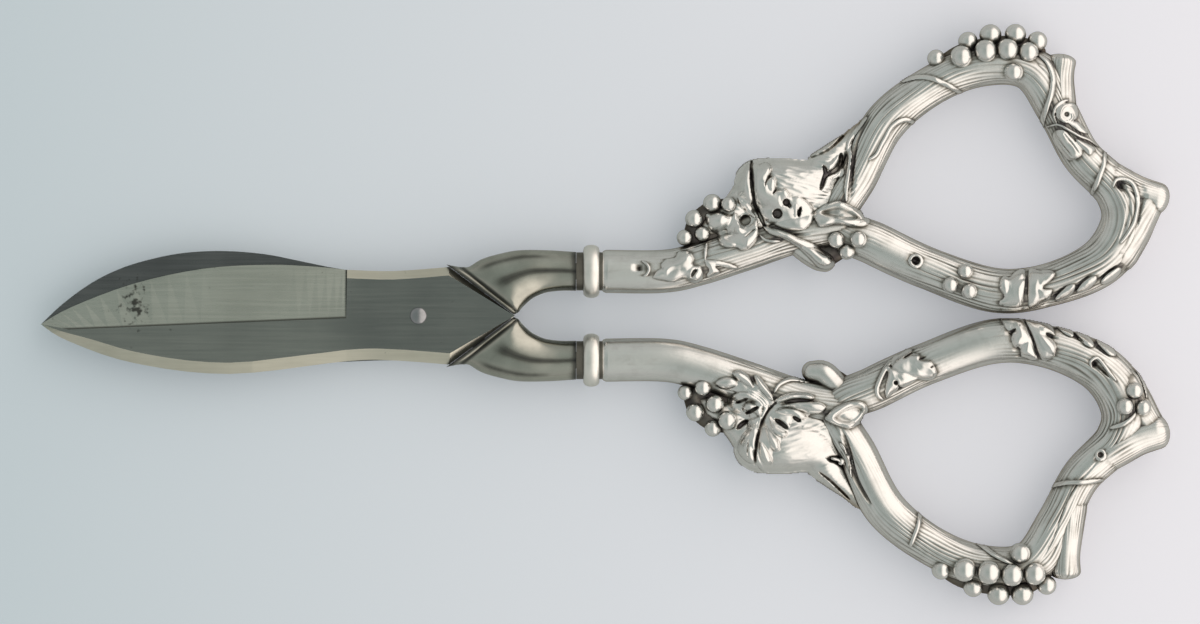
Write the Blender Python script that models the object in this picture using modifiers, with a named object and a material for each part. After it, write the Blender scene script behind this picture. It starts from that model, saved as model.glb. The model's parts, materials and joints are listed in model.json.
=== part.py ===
"""Grape shears: two steel blades on a rivet, with hollow silver vine-branch handles.

Run with blender --background --python part.py. Units are metres, +Z is up and the shears lie flat:
+X runs from the blades' points to the finger bows, +Y from the lower handle to the upper one.
The upper half holds the front blade. The lower half is the same construction turned half a turn
about X, so one set of shapes, in the upper half's place, serves both.
"""

import math

import bmesh
import bpy
from mathutils import Matrix, Vector

MM = 0.001

# Clearances
RUNNING_GAP = 0.30 * MM  # between faces that lie against each other
PIVOT_CLEARANCE = 0.08 * MM  # around the rivet in each blade

# Blades, measured from the pivot axis
BLADE_REACH = 60.4 * MM  # to the point
BLADE_THICKNESS = 1.70 * MM
EDGE_THICKNESS = 0.35 * MM  # left at the cutting edge
TIP_DROP = 1.35 * MM  # the point lies this far below the pivot's level
FRONT_BELLY = 9.3 * MM  # deepest reach of the front blade's spine
BACK_BELLY = 10.4 * MM  # and of the back blade's, which shows above the front one's edge
EDGE_RISE = 8.0 * MM  # highest reach of a cutting edge
WAIST = 7.15 * MM  # half the width beside the pivot
PLUNGE_AT = 11.4 * MM  # where the ground bevel ends in a square wall
BEVEL_SHOULDER = 0.4 * MM  # the bevel starts this far below the pivot's level, at the wall
BEVEL_FALL = 1.9 * MM  # and this much lower near the point
CHAMFER_WIDTH = 1.8 * MM  # ground along the spine, across the face
CHAMFER_DROP = 0.75 * MM  # and down the side

# Mitre where blade and bolster meet, a V that points at the handles
MITRE_HEEL = 4.6 * MM  # the mitre's outer end, along X
MITRE_HALF = 8.4 * MM  # and across
MITRE_APEX = 15.4 * MM  # its inner end, along X
APEX_HALF = 0.40 * MM  # half the gap between the two bolsters there
HEEL_INSET = 0.6 * MM  # a blade's heel stands back from the bolster's corner

# Rivet
PIVOT_RADIUS = 1.00 * MM
HEAD_RADIUS = 1.35 * MM
HEAD_RISE = 0.45 * MM
BURR_RADIUS = 1.75 * MM
BURR_THICKNESS = 0.50 * MM

# Bolsters, collars and tangs
BOLSTER_END = 25.2 * MM
BOLSTER_WIDTH = 6.2 * MM
BOLSTER_DEPTH = 5.6 * MM  # front to back
BOLSTER_WAIST = 0.55 * MM  # the outline dips this far behind the mitre's corner
BOLSTER_CROWN = 0.25 * MM  # and stands this far over the collar's end
BOLSTER_SWELL = 0.10 * MM  # extra half depth in the middle
LIP_DEPTH = 4.5 * MM  # front to back at the mitre
COLLAR_LENGTH = 4.2 * MM
COLLAR_GROOVE = 1.1 * MM  # plain stretch before the bead
COLLAR_GROOVE_RADIUS = 2.9 * MM
BEAD_LENGTH = 2.6 * MM
BEAD_RADIUS = 4.25 * MM
TANG_END = 44.0 * MM
TANG_WIDTH = 2.6 * MM
TANG_DEPTH = 2.4 * MM
TANG_TONGUE = 1.1 * MM  # half the width of the tongue that leaves the blade
TANG_STEP = 0.2 * MM  # the tongue stands this far off the blade's inner face

# Vine-branch handles
NECK_LEVEL = 7.1 * MM  # the neck's axis above the shears' middle line
NECK_RADIUS = 3.45 * MM
SHELL_WALL = 0.65 * MM
SEAM_GAP = 0.30 * MM
VINE_FLATNESS = 0.90  # front-to-back depth of the branch against its width
BOW_LENGTH = 46.4 * MM  # junction to the far side of the loop's middle line
BOW_HEIGHT = 36.1 * MM  # across the loop's middle line
BOW_START = 66.6 * MM
BOW_LEVEL = 4.05 * MM  # the loop's lowest middle line
CORE_END = 50.0 * MM  # the cement in the neck reaches here

# Relief on the branch
GRAPE_RADIUS = 1.60 * MM
SMALL_GRAPE_RADIUS = 1.35 * MM
STUB_LENGTH = 6.0 * MM  # pruned shoot at the bow's top corner
STUB_RADIUS = 2.0 * MM
KNOB_LENGTH = 4.2 * MM  # and at its far end
KNOB_RADIUS = 2.7 * MM
LEAF_RISE = 0.6 * MM
LEAF_LENGTH = 6.4 * MM
LEAF_WIDTH = 4.4 * MM

# Fox's head, set where the limbs part; places are measured from there
FOX_BACK = 6.6 * MM
FOX_UP = 4.6 * MM
FOX_LENGTH = 15.0 * MM
FOX_WIDTH = 12.2 * MM
FOX_DEPTH = 8.6 * MM
FOX_TILT = math.radians(40)
SNOUT_LENGTH = 17.5 * MM  # middle of the head to the nose
SNOUT_TIP_RADIUS = 1.0 * MM
SNOUT_ROOT_RADIUS = 3.6 * MM
EAR_LENGTH = 9.6 * MM
EAR_WIDTH = 4.8 * MM
EAR_DEPTH = 2.4 * MM
EAR_HOLLOW = 0.9 * MM  # how deep the ear is scooped out
MANE_LENGTH = 13.0 * MM  # leaf behind the head
MANE_WIDTH = 9.6 * MM
MANE_DEPTH = 5.6 * MM
BUNCH_BACK = 23.7 * MM  # first grape of the bunch on the neck
BUNCH_DOWN = 2.5 * MM
BUNCH_PITCH = 3.3 * MM  # along a row
BUNCH_ROW = 2.7 * MM  # between rows
BUNCH_TILT = math.radians(54)
SHOOT_LENGTH = 10.6 * MM  # drop-shaped shoot that hangs under the head
SHOOT_RADIUS = 1.6 * MM

# The loop's middle line as shares of the bow's length and height, with the branch's radius. It starts
# where the two limbs part, runs out along the outer limb and comes back along the inner one.
BOW_SHAPE = (
    (0.000, 0.300, 3.2 * MM),
    (0.080, 0.510, 3.3 * MM),
    (0.175, 0.745, 3.4 * MM),
    (0.330, 0.905, 3.2 * MM),
    (0.500, 0.993, 3.3 * MM),
    (0.665, 0.978, 3.3 * MM),
    (0.765, 0.800, 3.2 * MM),
    (0.850, 0.600, 3.2 * MM),
    (0.970, 0.440, 3.5 * MM),
    (1.000, 0.290, 4.0 * MM),
    (0.920, 0.130, 3.9 * MM),
    (0.750, 0.030, 3.5 * MM),
    (0.555, 0.000, 3.6 * MM),
    (0.325, 0.095, 3.4 * MM),
    (0.140, 0.205, 3.5 * MM),
)
BOW_STATIONS_PER_SPAN = 3
NECK_STATIONS_PER_SPAN = 2
VINE_SIDES_RESOLUTION = 3
CAVITY_SIDES_RESOLUTION = 1
GRAPE_RINGS = 5

STEEL = ("blued steel", (0.33, 0.34, 0.34), 0.28, 1.0)
NICKEL = ("nickel silver", (0.66, 0.64, 0.58), 0.25, 1.0)
SILVER = ("struck silver", (0.78, 0.76, 0.70), 0.30, 1.0)
CEMENT = ("handle cement", (0.42, 0.36, 0.28), 0.90, 0.0)


# Scene and mesh helpers


def clear_scene():
    for obj in list(bpy.data.objects):
        bpy.data.objects.remove(obj, do_unlink=True)


def collection(name, hidden=False):
    made = bpy.data.collections.new(name)
    made.hide_render = hidden
    bpy.context.scene.collection.children.link(made)
    return made


def material(finish):
    name, colour, roughness, metallic = finish
    made = bpy.data.materials.get(name) or bpy.data.materials.new(name)
    made.use_nodes = True
    shader = made.node_tree.nodes["Principled BSDF"]
    shader.inputs["Base Color"].default_value = (*colour, 1.0)
    shader.inputs["Roughness"].default_value = roughness
    shader.inputs["Metallic"].default_value = metallic
    return made


def mesh_object(name, mesh, group):
    obj = bpy.data.objects.new(name, mesh)
    group.objects.link(obj)
    return obj


def finished_mesh(bm, name):
    """The bmesh as a mesh with its faces pointing out."""
    bmesh.ops.recalc_face_normals(bm, faces=bm.faces)
    mesh = bpy.data.meshes.new(name)
    bm.to_mesh(mesh)
    bm.free()
    return mesh


def evaluated_mesh(obj, weld=None):
    """A plain mesh of the object with its modifiers or curve settings applied."""
    bpy.context.view_layer.update()
    graph = bpy.context.evaluated_depsgraph_get()
    mesh = bpy.data.meshes.new_from_object(obj.evaluated_get(graph))
    if weld is not None:
        bm = bmesh.new()
        bm.from_mesh(mesh)
        bmesh.ops.remove_doubles(bm, verts=bm.verts, dist=weld)
        bmesh.ops.recalc_face_normals(bm, faces=bm.faces)
        bm.to_mesh(mesh)
        bm.free()
    return mesh


def boolean(mesh, operation, others, group, solver="EXACT"):
    """The mesh joined with, cut by or limited to each of the other meshes, in turn."""
    target = mesh_object(mesh.name, mesh, group)
    tools = [mesh_object(other.name, other, group) for other in others]
    for tool in tools:
        step = target.modifiers.new(operation.title(), "BOOLEAN")
        step.operation = operation
        step.solver = solver
        step.object = tool
    made = evaluated_mesh(target)
    made.name = mesh.name
    for obj in (target, *tools):
        bpy.data.objects.remove(obj, do_unlink=True)
    return made


def shade(mesh, angle_degrees):
    mesh.shade_smooth()
    mesh.set_sharp_from_angle(angle=math.radians(angle_degrees))


# Curves and basic solids


def spline(points, per_span, closed=False):
    """Points on a smooth curve through the given ones, which may carry a radius as a last value."""
    count = len(points)
    spans = count if closed else count - 1
    made = []
    for span in range(spans):
        around = [
            points[(span + step) % count] if closed else points[min(max(span + step, 0), count - 1)]
            for step in (-1, 0, 1, 2)
        ]
        for part in range(per_span):
            t = part / per_span
            weights = (
                -0.5 * t + t**2 - 0.5 * t**3,
                1 - 2.5 * t**2 + 1.5 * t**3,
                0.5 * t + 2 * t**2 - 1.5 * t**3,
                -0.5 * t**2 + 0.5 * t**3,
            )
            made.append(tuple(sum(w * p[axis] for w, p in zip(weights, around)) for axis in range(len(points[0]))))
    if not closed:
        made.append(tuple(points[-1]))
    return made


def tube_mesh(name, stations, group, closed=False, resolution=VINE_SIDES_RESOLUTION, flatness=1.0, grow=0.0):
    """A round tube through (x, y, z, radius) stations; flatness squeezes it front to back."""
    curve = bpy.data.curves.new(name, "CURVE")
    curve.dimensions = "3D"
    curve.bevel_depth = 1.0
    curve.bevel_resolution = resolution
    curve.use_fill_caps = True
    line = curve.splines.new("POLY")
    line.points.add(len(stations) - 1)
    line.use_cyclic_u = closed
    for point, (x, y, z, radius) in zip(line.points, stations):
        point.co = (x, y, z, 1.0)
        point.radius = radius + grow
    obj = mesh_object(name, curve, group)
    mesh = evaluated_mesh(obj, weld=0.01 * MM)
    mesh.name = name
    bpy.data.objects.remove(obj, do_unlink=True)
    mesh.transform(Matrix.Diagonal((1.0, 1.0, flatness, 1.0)))
    return mesh


def ball_mesh(name, centre, radii, turn=0.0, rings=GRAPE_RINGS):
    """An ellipsoid, turned about Z."""
    bm = bmesh.new()
    bmesh.ops.create_uvsphere(bm, u_segments=rings + 2, v_segments=rings, radius=1.0)
    place = Matrix.Translation(centre) @ Matrix.Rotation(turn, 4, "Z") @ Matrix.Diagonal((*radii, 1.0))
    bmesh.ops.transform(bm, matrix=place, verts=bm.verts)
    return finished_mesh(bm, name)


def box_mesh(name, low, high):
    bm = bmesh.new()
    bmesh.ops.create_cube(bm, size=1.0)
    size = Vector(high) - Vector(low)
    middle = (Vector(high) + Vector(low)) / 2
    bmesh.ops.transform(bm, matrix=Matrix.Translation(middle) @ Matrix.Diagonal((*size, 1.0)), verts=bm.verts)
    return finished_mesh(bm, name)


def lofted_mesh(name, rings):
    """A closed solid through rings of equally many points, with flat ends."""
    bm = bmesh.new()
    made = [[bm.verts.new(point) for point in ring] for ring in rings]
    count = len(rings[0])
    for first, second in zip(made, made[1:]):
        for i in range(count):
            j = (i + 1) % count
            bm.faces.new((first[i], first[j], second[j], second[i]))
    bm.faces.new(made[0])
    bm.faces.new(made[-1])
    return finished_mesh(bm, name)


def turned_mesh(name, profile, group, steps=20):
    """A solid of revolution about Z from (radius, height) points, top to bottom down the outer side."""
    bm = bmesh.new()
    verts = [bm.verts.new((radius, 0.0, height)) for radius, height in profile]
    for first, second in zip(verts, verts[1:]):
        bm.edges.new((first, second))
    line = bpy.data.meshes.new(name)
    bm.to_mesh(line)
    bm.free()
    obj = mesh_object(name, line, group)
    screw = obj.modifiers.new("Turn", "SCREW")
    screw.steps = steps
    screw.render_steps = steps
    screw.use_merge_vertices = True
    screw.merge_threshold = 0.001 * MM
    mesh = evaluated_mesh(obj, weld=0.001 * MM)
    mesh.name = name
    bpy.data.objects.remove(obj, do_unlink=True)
    return mesh


# Blades


def mitre_edge():
    """The heel and apex of a blade's mitred rear edge, standing off the bolster's mouth by the gap."""
    heel = Vector((MITRE_HEEL, MITRE_HALF))
    apex = Vector((MITRE_APEX, APEX_HALF))
    along = (apex - heel).normalized()
    inward = Vector((along.y, -along.x))
    start = heel + inward * RUNNING_GAP + along * HEEL_INSET
    end = apex + inward * RUNNING_GAP
    tip = end + along * (-end.y / along.y)
    return start, tip


def blade_rings(belly, tip_level, edge_shape):
    """Rings of a blade: its inner outline, its outline at the foot of the bevels, and its face."""
    inner = RUNNING_GAP / 2
    face = inner + BLADE_THICKNESS
    heel, apex = mitre_edge()
    spine = spline(
        (
            (-BLADE_REACH, tip_level),
            (-0.93 * BLADE_REACH, tip_level - 0.28 * belly),
            (-0.755 * BLADE_REACH, -0.81 * belly),
            (-0.50 * BLADE_REACH, -belly),
            (-PLUNGE_AT, -(WAIST + 0.05 * (belly - WAIST))),
            (-0.35 * PLUNGE_AT, -WAIST),
            (heel.x, -heel.y),
        ),
        per_span=5,
    )
    edge = spline(
        [(-BLADE_REACH, tip_level)]
        + [(-share * BLADE_REACH, rise * EDGE_RISE) for share, rise in edge_shape]
        + [(-PLUNGE_AT, WAIST + 0.2 * MM)],
        per_span=4,
    )
    ricasso = spline(((-PLUNGE_AT, WAIST + 0.2 * MM), (-0.35 * PLUNGE_AT, WAIST), (heel.x, heel.y)), per_span=4)
    step = 0.15 * MM  # the plunge wall's lean along X

    bevel_start = (-0.925 * BLADE_REACH, tip_level - 0.45 * BEVEL_FALL)
    bevel_end = (-PLUNGE_AT - step, -BEVEL_SHOULDER)

    outline, foot, crest = [], [], []

    def add(point, foot_height, crest_point):
        outline.append((*point, inner))
        foot.append((*point, foot_height))
        crest.append((*crest_point, face))

    count = len(spine) - 1
    for index, point in enumerate(spine[1:], start=1):
        before = Vector(spine[index - 1])
        after = Vector(spine[min(index + 1, count)])
        along = (after - before).normalized()
        inward = Vector((-along.y, along.x))
        width = CHAMFER_WIDTH * min(1.0, 4.0 * index / count)
        add(point, face - CHAMFER_DROP, Vector(point) + inward * width)
    add(apex, face - CHAMFER_DROP, apex)
    for index, point in enumerate(reversed(ricasso[1:])):
        add(point, face - CHAMFER_DROP, Vector(point) - Vector((0.0, 0.75 * CHAMFER_WIDTH)))
    add(ricasso[0], face - CHAMFER_DROP, Vector(ricasso[0]) - Vector((0.0, 0.75 * CHAMFER_WIDTH)))
    ground = edge[:-1] + [(-PLUNGE_AT - step, edge[-1][1])]
    for index, point in enumerate(reversed(ground)):
        share = (point[0] - ground[0][0]) / (ground[-1][0] - ground[0][0])
        shoulder = Vector(bevel_start).lerp(Vector(bevel_end), share)
        add(point, inner + EDGE_THICKNESS, shoulder)
    return outline, foot, crest


def tang_stations():
    """The tang's middle line from the blade's heel into the neck: x, y, half width, low and high z."""
    inner = RUNNING_GAP / 2
    plate = (inner + TANG_STEP, inner + BLADE_THICKNESS - CHAMFER_DROP)
    deep = (-TANG_DEPTH / 2, TANG_DEPTH / 2)
    mouth = Vector(((MITRE_HEEL + MITRE_APEX) / 2, (MITRE_HALF + APEX_HALF) / 2))
    wide = TANG_WIDTH / 2
    run, rise = BOLSTER_END - mouth.x, NECK_LEVEL - mouth.y
    return (
        (mouth.x - 0.20 * run, mouth.y - 0.48 * rise, TANG_TONGUE, *plate),
        (mouth.x + 0.05 * run, mouth.y + 0.18 * rise, TANG_TONGUE, *plate),
        (mouth.x + 0.17 * run, mouth.y + 0.44 * rise, TANG_TONGUE, *plate),
        (mouth.x + 0.37 * run, mouth.y + 0.78 * rise, wide, *deep),
        (mouth.x + 0.80 * run, mouth.y + 0.96 * rise, wide, *deep),
        (BOLSTER_END, NECK_LEVEL, wide, *deep),
        (TANG_END, NECK_LEVEL, 0.75 * wide, 0.75 * deep[0], 0.75 * deep[1]),
    )


def tang_mesh(name, grow=0.0, from_x=None):
    """The tang as a rectangular bar. Grown by a clearance it is the passage that the tang needs."""
    stations = tang_stations()
    rings = []
    for index, (x, y, half, low, high) in enumerate(stations):
        before = Vector(stations[max(index - 1, 0)][:2])
        after = Vector(stations[min(index + 1, len(stations) - 1)][:2])
        along = (after - before).normalized()
        side = Vector((-along.y, along.x)) * (half + grow)
        end = grow if index == len(stations) - 1 else (-grow if index == 0 else 0.0)
        middle = Vector((x, y)) + along * end
        left, right = middle + side, middle - side
        rings.append(
            ((*left, low - grow), (*right, low - grow), (*right, high + grow), (*left, high + grow))
        )
    return lofted_mesh(name, rings)


def blade_mesh(name, belly, tip_level, edge_shape, group):
    plate = lofted_mesh(name, blade_rings(belly, tip_level, edge_shape))
    hole = turned_mesh(
        name + "_hole",
        (
            (0.0, 5 * BLADE_THICKNESS),
            (PIVOT_RADIUS + PIVOT_CLEARANCE, 5 * BLADE_THICKNESS),
            (PIVOT_RADIUS + PIVOT_CLEARANCE, -5 * BLADE_THICKNESS),
            (0.0, -5 * BLADE_THICKNESS),
        ),
        group,
    )
    tanged = boolean(plate, "UNION", [tang_mesh(name + "_tang")], group)
    return boolean(tanged, "DIFFERENCE", [hole], group)


# Pivot


def rivet_mesh(group):
    """A domed head on the front blade and a shank that runs through both blades to the burr."""
    face = RUNNING_GAP / 2 + BLADE_THICKNESS
    seat = face + PIVOT_CLEARANCE
    end = -(face + RUNNING_GAP + BURR_THICKNESS + 0.35 * HEAD_RISE)
    dome = [
        (HEAD_RADIUS * math.sin(a), seat + 0.1 * MM + HEAD_RISE * math.cos(a))
        for a in (math.radians(step * 22.5) for step in range(5))
    ]
    dome[0] = (0.0, dome[0][1])
    profile = dome + [
        (HEAD_RADIUS, seat),
        (PIVOT_RADIUS, seat),
        (PIVOT_RADIUS, end),
        (0.0, end),
    ]
    return turned_mesh("pivot_rivet", profile, group)


def burr_mesh(group):
    """The washer that the rivet's end is spread over, behind the back blade."""
    top = -(RUNNING_GAP / 2 + BLADE_THICKNESS + PIVOT_CLEARANCE)
    bore = PIVOT_RADIUS + PIVOT_CLEARANCE
    chamfer = 0.4 * BURR_THICKNESS
    profile = (
        (bore, top),
        (BURR_RADIUS, top),
        (BURR_RADIUS, top - BURR_THICKNESS + chamfer),
        (BURR_RADIUS - chamfer, top - BURR_THICKNESS),
        (bore, top - BURR_THICKNESS),
        (bore, top),
    )
    return turned_mesh("pivot_burr", profile, group)


# Bolster, collar and cement


def bolster_mesh(group):
    """A socket that sweeps from the mitred mouth to an oval end at the collar, over the tang."""
    half_end = BOLSTER_WIDTH / 2
    mouth_top, mouth_low = (MITRE_HEEL, MITRE_HALF), (MITRE_APEX, APEX_HALF)
    run = BOLSTER_END - MITRE_HEEL
    dip = BOLSTER_END - MITRE_APEX
    top = NECK_LEVEL + half_end
    low = NECK_LEVEL - half_end
    lip, deep = LIP_DEPTH / 2, BOLSTER_DEPTH / 2
    # upper and lower outline, half depth, and how square the section is
    sections = (
        (mouth_top, mouth_low, lip, 5.0),
        ((MITRE_HEEL + 0.10 * run, MITRE_HALF - BOLSTER_WAIST), (MITRE_APEX + 0.06 * dip, 0.14 * low), lip + BOLSTER_SWELL, 4.0),
        ((MITRE_HEEL + 0.17 * run, MITRE_HALF - BOLSTER_WAIST), (MITRE_APEX + 0.11 * dip, 0.30 * low), 0.93 * deep, 2.9),
        ((MITRE_HEEL + 0.26 * run, 0.88 * top), (MITRE_APEX + 0.19 * dip, 0.50 * low), deep + BOLSTER_SWELL, 2.5),
        ((MITRE_HEEL + 0.39 * run, 0.96 * top), (MITRE_APEX + 0.31 * dip, 0.72 * low), deep + 1.5 * BOLSTER_SWELL, 2.3),
        ((MITRE_HEEL + 0.56 * run, top + BOLSTER_CROWN), (MITRE_APEX + 0.50 * dip, 0.92 * low), deep + BOLSTER_SWELL, 2.2),
        ((MITRE_HEEL + 0.78 * run, top + BOLSTER_CROWN), (MITRE_APEX + 0.74 * dip, low), deep, 2.1),
        ((BOLSTER_END, top), (BOLSTER_END, low), deep, 2.0),
    )
    sides = 20
    rings = []
    for upper, lower, depth, squareness in sections:
        middle = (Vector(upper) + Vector(lower)) / 2
        reach = (Vector(upper) - Vector(lower)) / 2
        ring = []
        for side in range(sides):
            angle = 2 * math.pi * side / sides
            across = math.copysign(abs(math.cos(angle)) ** (2 / squareness), math.cos(angle))
            forward = math.copysign(abs(math.sin(angle)) ** (2 / squareness), math.sin(angle))
            ring.append((*(middle + reach * across), depth * forward))
        rings.append(ring)
    solid = lofted_mesh("bolster", rings)
    return boolean(solid, "DIFFERENCE", [tang_mesh("tang_passage", grow=RUNNING_GAP)], group)


def along_neck(mesh, start):
    """Turns a shape made along Z so that it runs along the neck from the given X."""
    place = Matrix.Translation((start, NECK_LEVEL, 0.0)) @ Matrix.Rotation(math.pi / 2, 4, "Y")
    mesh.transform(Matrix.Diagonal((1.0, 1.0, VINE_FLATNESS, 1.0)) @ place)
    return mesh


def collar_start():
    return BOLSTER_END + RUNNING_GAP


def neck_start():
    return collar_start() + COLLAR_LENGTH + RUNNING_GAP


def collar_mesh(group):
    """The bead that finishes the neck: a grooved stretch, a half-round bead and a step to the neck."""
    bead_from = COLLAR_GROOVE
    bead_to = COLLAR_GROOVE + BEAD_LENGTH
    bead = []
    for step in range(7):
        angle = math.pi * step / 6
        bead.append(
            (
                COLLAR_GROOVE_RADIUS + (BEAD_RADIUS - COLLAR_GROOVE_RADIUS) * math.sin(angle) ** 0.7,
                (bead_from + bead_to) / 2 + BEAD_LENGTH / 2 * math.cos(angle),
            )
        )
    profile = [(0.0, COLLAR_LENGTH), (COLLAR_GROOVE_RADIUS, COLLAR_LENGTH), *bead]
    profile += [(COLLAR_GROOVE_RADIUS, 0.0), (0.0, 0.0)]
    solid = along_neck(turned_mesh("collar", profile, group, steps=20), collar_start())
    return boolean(solid, "DIFFERENCE", [tang_mesh("tang_passage", grow=RUNNING_GAP)], group)


def neck_stations():
    """The neck's middle line from the collar to the place where the bow's limbs part."""
    x0 = neck_start()
    end = parting()
    rise = end.y - NECK_LEVEL
    run = end.x - x0
    shape = ((0.0, 0.0), (0.25, 0.0), (0.40, 0.14), (0.62, 0.48), (0.82, 0.80), (1.04, 1.0))
    return [(x0 + a * run, NECK_LEVEL + b * rise, 0.0, NECK_RADIUS) for a, b in shape]


def core_mesh(group):
    """Cement that fills the neck round the tang."""
    inside = NECK_RADIUS - SHELL_WALL - RUNNING_GAP
    line = spline(neck_stations(), per_span=NECK_STATIONS_PER_SPAN)
    kept = [(x, y, z, inside) for x, y, z, _ in line if x <= CORE_END]
    kept[0] = (kept[0][0] + RUNNING_GAP, *kept[0][1:])
    solid = tube_mesh("neck_cement", kept, group, resolution=CAVITY_SIDES_RESOLUTION, flatness=VINE_FLATNESS)
    return boolean(solid, "DIFFERENCE", [tang_mesh("tang_passage", grow=RUNNING_GAP)], group)


# Handle shells


def bow_stations():
    points = [
        (BOW_START + a * BOW_LENGTH, BOW_LEVEL + b * BOW_HEIGHT, 0.0, radius) for a, b, radius in BOW_SHAPE
    ]
    return spline(points, BOW_STATIONS_PER_SPAN, closed=True)


def on_bow(share, outward=0.0):
    """A point of the loop's middle line at a share of its control points, moved outward, and the radius."""
    stations = bow_stations()
    index = share * len(stations) / len(BOW_SHAPE)
    low = int(math.floor(index))
    mix = index - low
    first, second = stations[low % len(stations)], stations[(low + 1) % len(stations)]
    point = Vector(first[:2]).lerp(Vector(second[:2]), mix)
    along = (Vector(second[:2]) - Vector(first[:2])).normalized()
    out = Vector((-along.y, along.x))
    radius = first[3] + (second[3] - first[3]) * mix
    return point + out * outward, along, out, radius


def vine_surface(outward, radius):
    """Height of the branch's front surface, at a distance from its middle line."""
    return VINE_FLATNESS * math.sqrt(max(radius**2 - outward**2, 0.0))


def grapes_on_bow(places, face, radius):
    """Grapes on the branch at (share, outward) places, sunk a little: face 0 is the rim, 1 the front."""
    made = []
    for share, outward in places:
        point, _, _, vine = on_bow(share, outward)
        height = face * (vine_surface(outward, vine) - 0.25 * radius)
        made.append(ball_mesh("grape", (*point, height), (radius, radius, radius)))
    return made


def leaf_on_bow(share, outward, face, turn=0.0):
    """A leaf's low swelling on the branch."""
    point, along, _, vine = on_bow(share, outward)
    heading = math.atan2(along.y, along.x) + turn
    radii = (LEAF_LENGTH / 2, LEAF_WIDTH / 2, 2 * LEAF_RISE)
    return ball_mesh("leaf", (*point, face * (vine_surface(outward, vine) - LEAF_RISE)), radii, heading)


def stub_mesh(name, share, lean, reach, radius, group):
    """A pruned side shoot: a short stump with a rounded end. Lean is against the branch's run."""
    point, along, out, vine = on_bow(share)
    heading = (out - along * lean).normalized()
    start = point + heading * 0.4 * vine
    end = point + heading * (vine + reach)
    steps = ((0.0, 1.30), (0.45, 0.98), (0.80, 1.0), (0.94, 0.86), (1.0, 0.45))
    stations = [(*start.lerp(end, a), 0.0, radius * b) for a, b in steps]
    return tube_mesh(name, stations, group, resolution=3)


def parting():
    """Where the bow's two limbs leave the neck."""
    share_x, share_y, _ = BOW_SHAPE[0]
    return Vector((BOW_START + share_x * BOW_LENGTH, BOW_LEVEL + share_y * BOW_HEIGHT))


def bough_meshes(group):
    """The branch itself: the loop, the neck and two pruned stubs."""
    loop = tube_mesh("bow", bow_stations(), group, closed=True, flatness=VINE_FLATNESS)
    neck = tube_mesh("neck", spline(neck_stations(), per_span=NECK_STATIONS_PER_SPAN), group, flatness=VINE_FLATNESS)
    stubs = [
        stub_mesh("corner_stub", 6.0, 0.72, STUB_LENGTH, STUB_RADIUS, group),
        stub_mesh("end_knob", 8.5, 0.0, KNOB_LENGTH, KNOB_RADIUS, group),
    ]
    return [loop, neck, *stubs]


def fox_meshes(face, group):
    """The head with its snout along the outer limb, the leaf behind it, and a scooped ear on one face."""
    start = parting()
    middle = start + Vector((-FOX_BACK, FOX_UP))
    ahead = Vector((math.cos(FOX_TILT), math.sin(FOX_TILT)))
    left = Vector((-ahead.y, ahead.x))
    skull = ball_mesh(
        "skull", (*middle, 0.0), (FOX_LENGTH / 2, FOX_WIDTH / 2, FOX_DEPTH / 2), FOX_TILT, rings=8
    )
    lean = (ahead + left * 0.10).normalized()
    snout = tube_mesh(
        "snout",
        [
            (*(middle + lean * SNOUT_LENGTH * a), 0.0, SNOUT_ROOT_RADIUS + (SNOUT_TIP_RADIUS - SNOUT_ROOT_RADIUS) * b)
            for a, b in ((0.2, 0.0), (0.5, 0.45), (0.8, 0.85), (0.96, 1.0), (1.0, 1.2))
        ],
        group,
        resolution=3,
    )
    mane = ball_mesh(
        "mane",
        (*(middle - ahead * 0.58 * FOX_LENGTH + left * 0.22 * FOX_WIDTH), 0.0),
        (MANE_LENGTH / 2, MANE_WIDTH / 2, MANE_DEPTH / 2),
        FOX_TILT - math.radians(5),
        rings=6,
    )
    shoot_from = start + Vector((-FOX_BACK - 4.0 * MM, -0.12 * FOX_WIDTH))
    shoot_way = Vector((0.89, -0.45)) * SHOOT_LENGTH
    shoot = tube_mesh(
        "shoot",
        [
            (*(shoot_from + shoot_way * a), face * 1.9 * MM, SHOOT_RADIUS * b)
            for a, b in ((0.0, 0.5), (0.5, 0.7), (0.82, 1.0), (0.95, 0.85), (1.0, 0.4))
        ],
        group,
        resolution=2,
    )
    ear_at = start + Vector((0.9 * MM, 1.6 * MM))
    ear_height = face * (0.42 * FOX_DEPTH)
    ear_radii = (EAR_LENGTH / 2, EAR_WIDTH / 2, EAR_DEPTH / 2)
    ear = ball_mesh("ear", (*ear_at, ear_height), ear_radii, math.radians(-6), rings=7)
    scoop_at = (*ear_at, ear_height + face * (EAR_DEPTH - EAR_HOLLOW))
    scoop = ball_mesh("ear_scoop", scoop_at, [0.72 * r for r in ear_radii[:2]] + [EAR_DEPTH / 2], math.radians(-6), rings=6)
    return [skull, snout, mane, shoot, ear], [scoop]


def bunch_meshes(face):
    """Two rows of grapes between the neck and the head."""
    along = Vector((math.cos(BUNCH_TILT), math.sin(BUNCH_TILT)))
    across = Vector((along.y, -along.x))
    first = parting() + Vector((-BUNCH_BACK, -BUNCH_DOWN))
    radius = SMALL_GRAPE_RADIUS
    made = []
    for row in range(2):
        for place in range(3):
            point = first + along * BUNCH_PITCH * place + across * BUNCH_ROW * row
            made.append(ball_mesh("bunch_grape", (*point, face * (0.8 + 0.7 * row) * radius), (radius, radius, radius)))
    stem_from = first + across * BUNCH_ROW
    stem_radii = (BUNCH_PITCH * 1.7, BUNCH_ROW * 0.95, 1.9 * radius)
    made.append(ball_mesh("bunch_heart", (*(stem_from + along * BUNCH_PITCH), 0.0), stem_radii, BUNCH_TILT))
    return made


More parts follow.
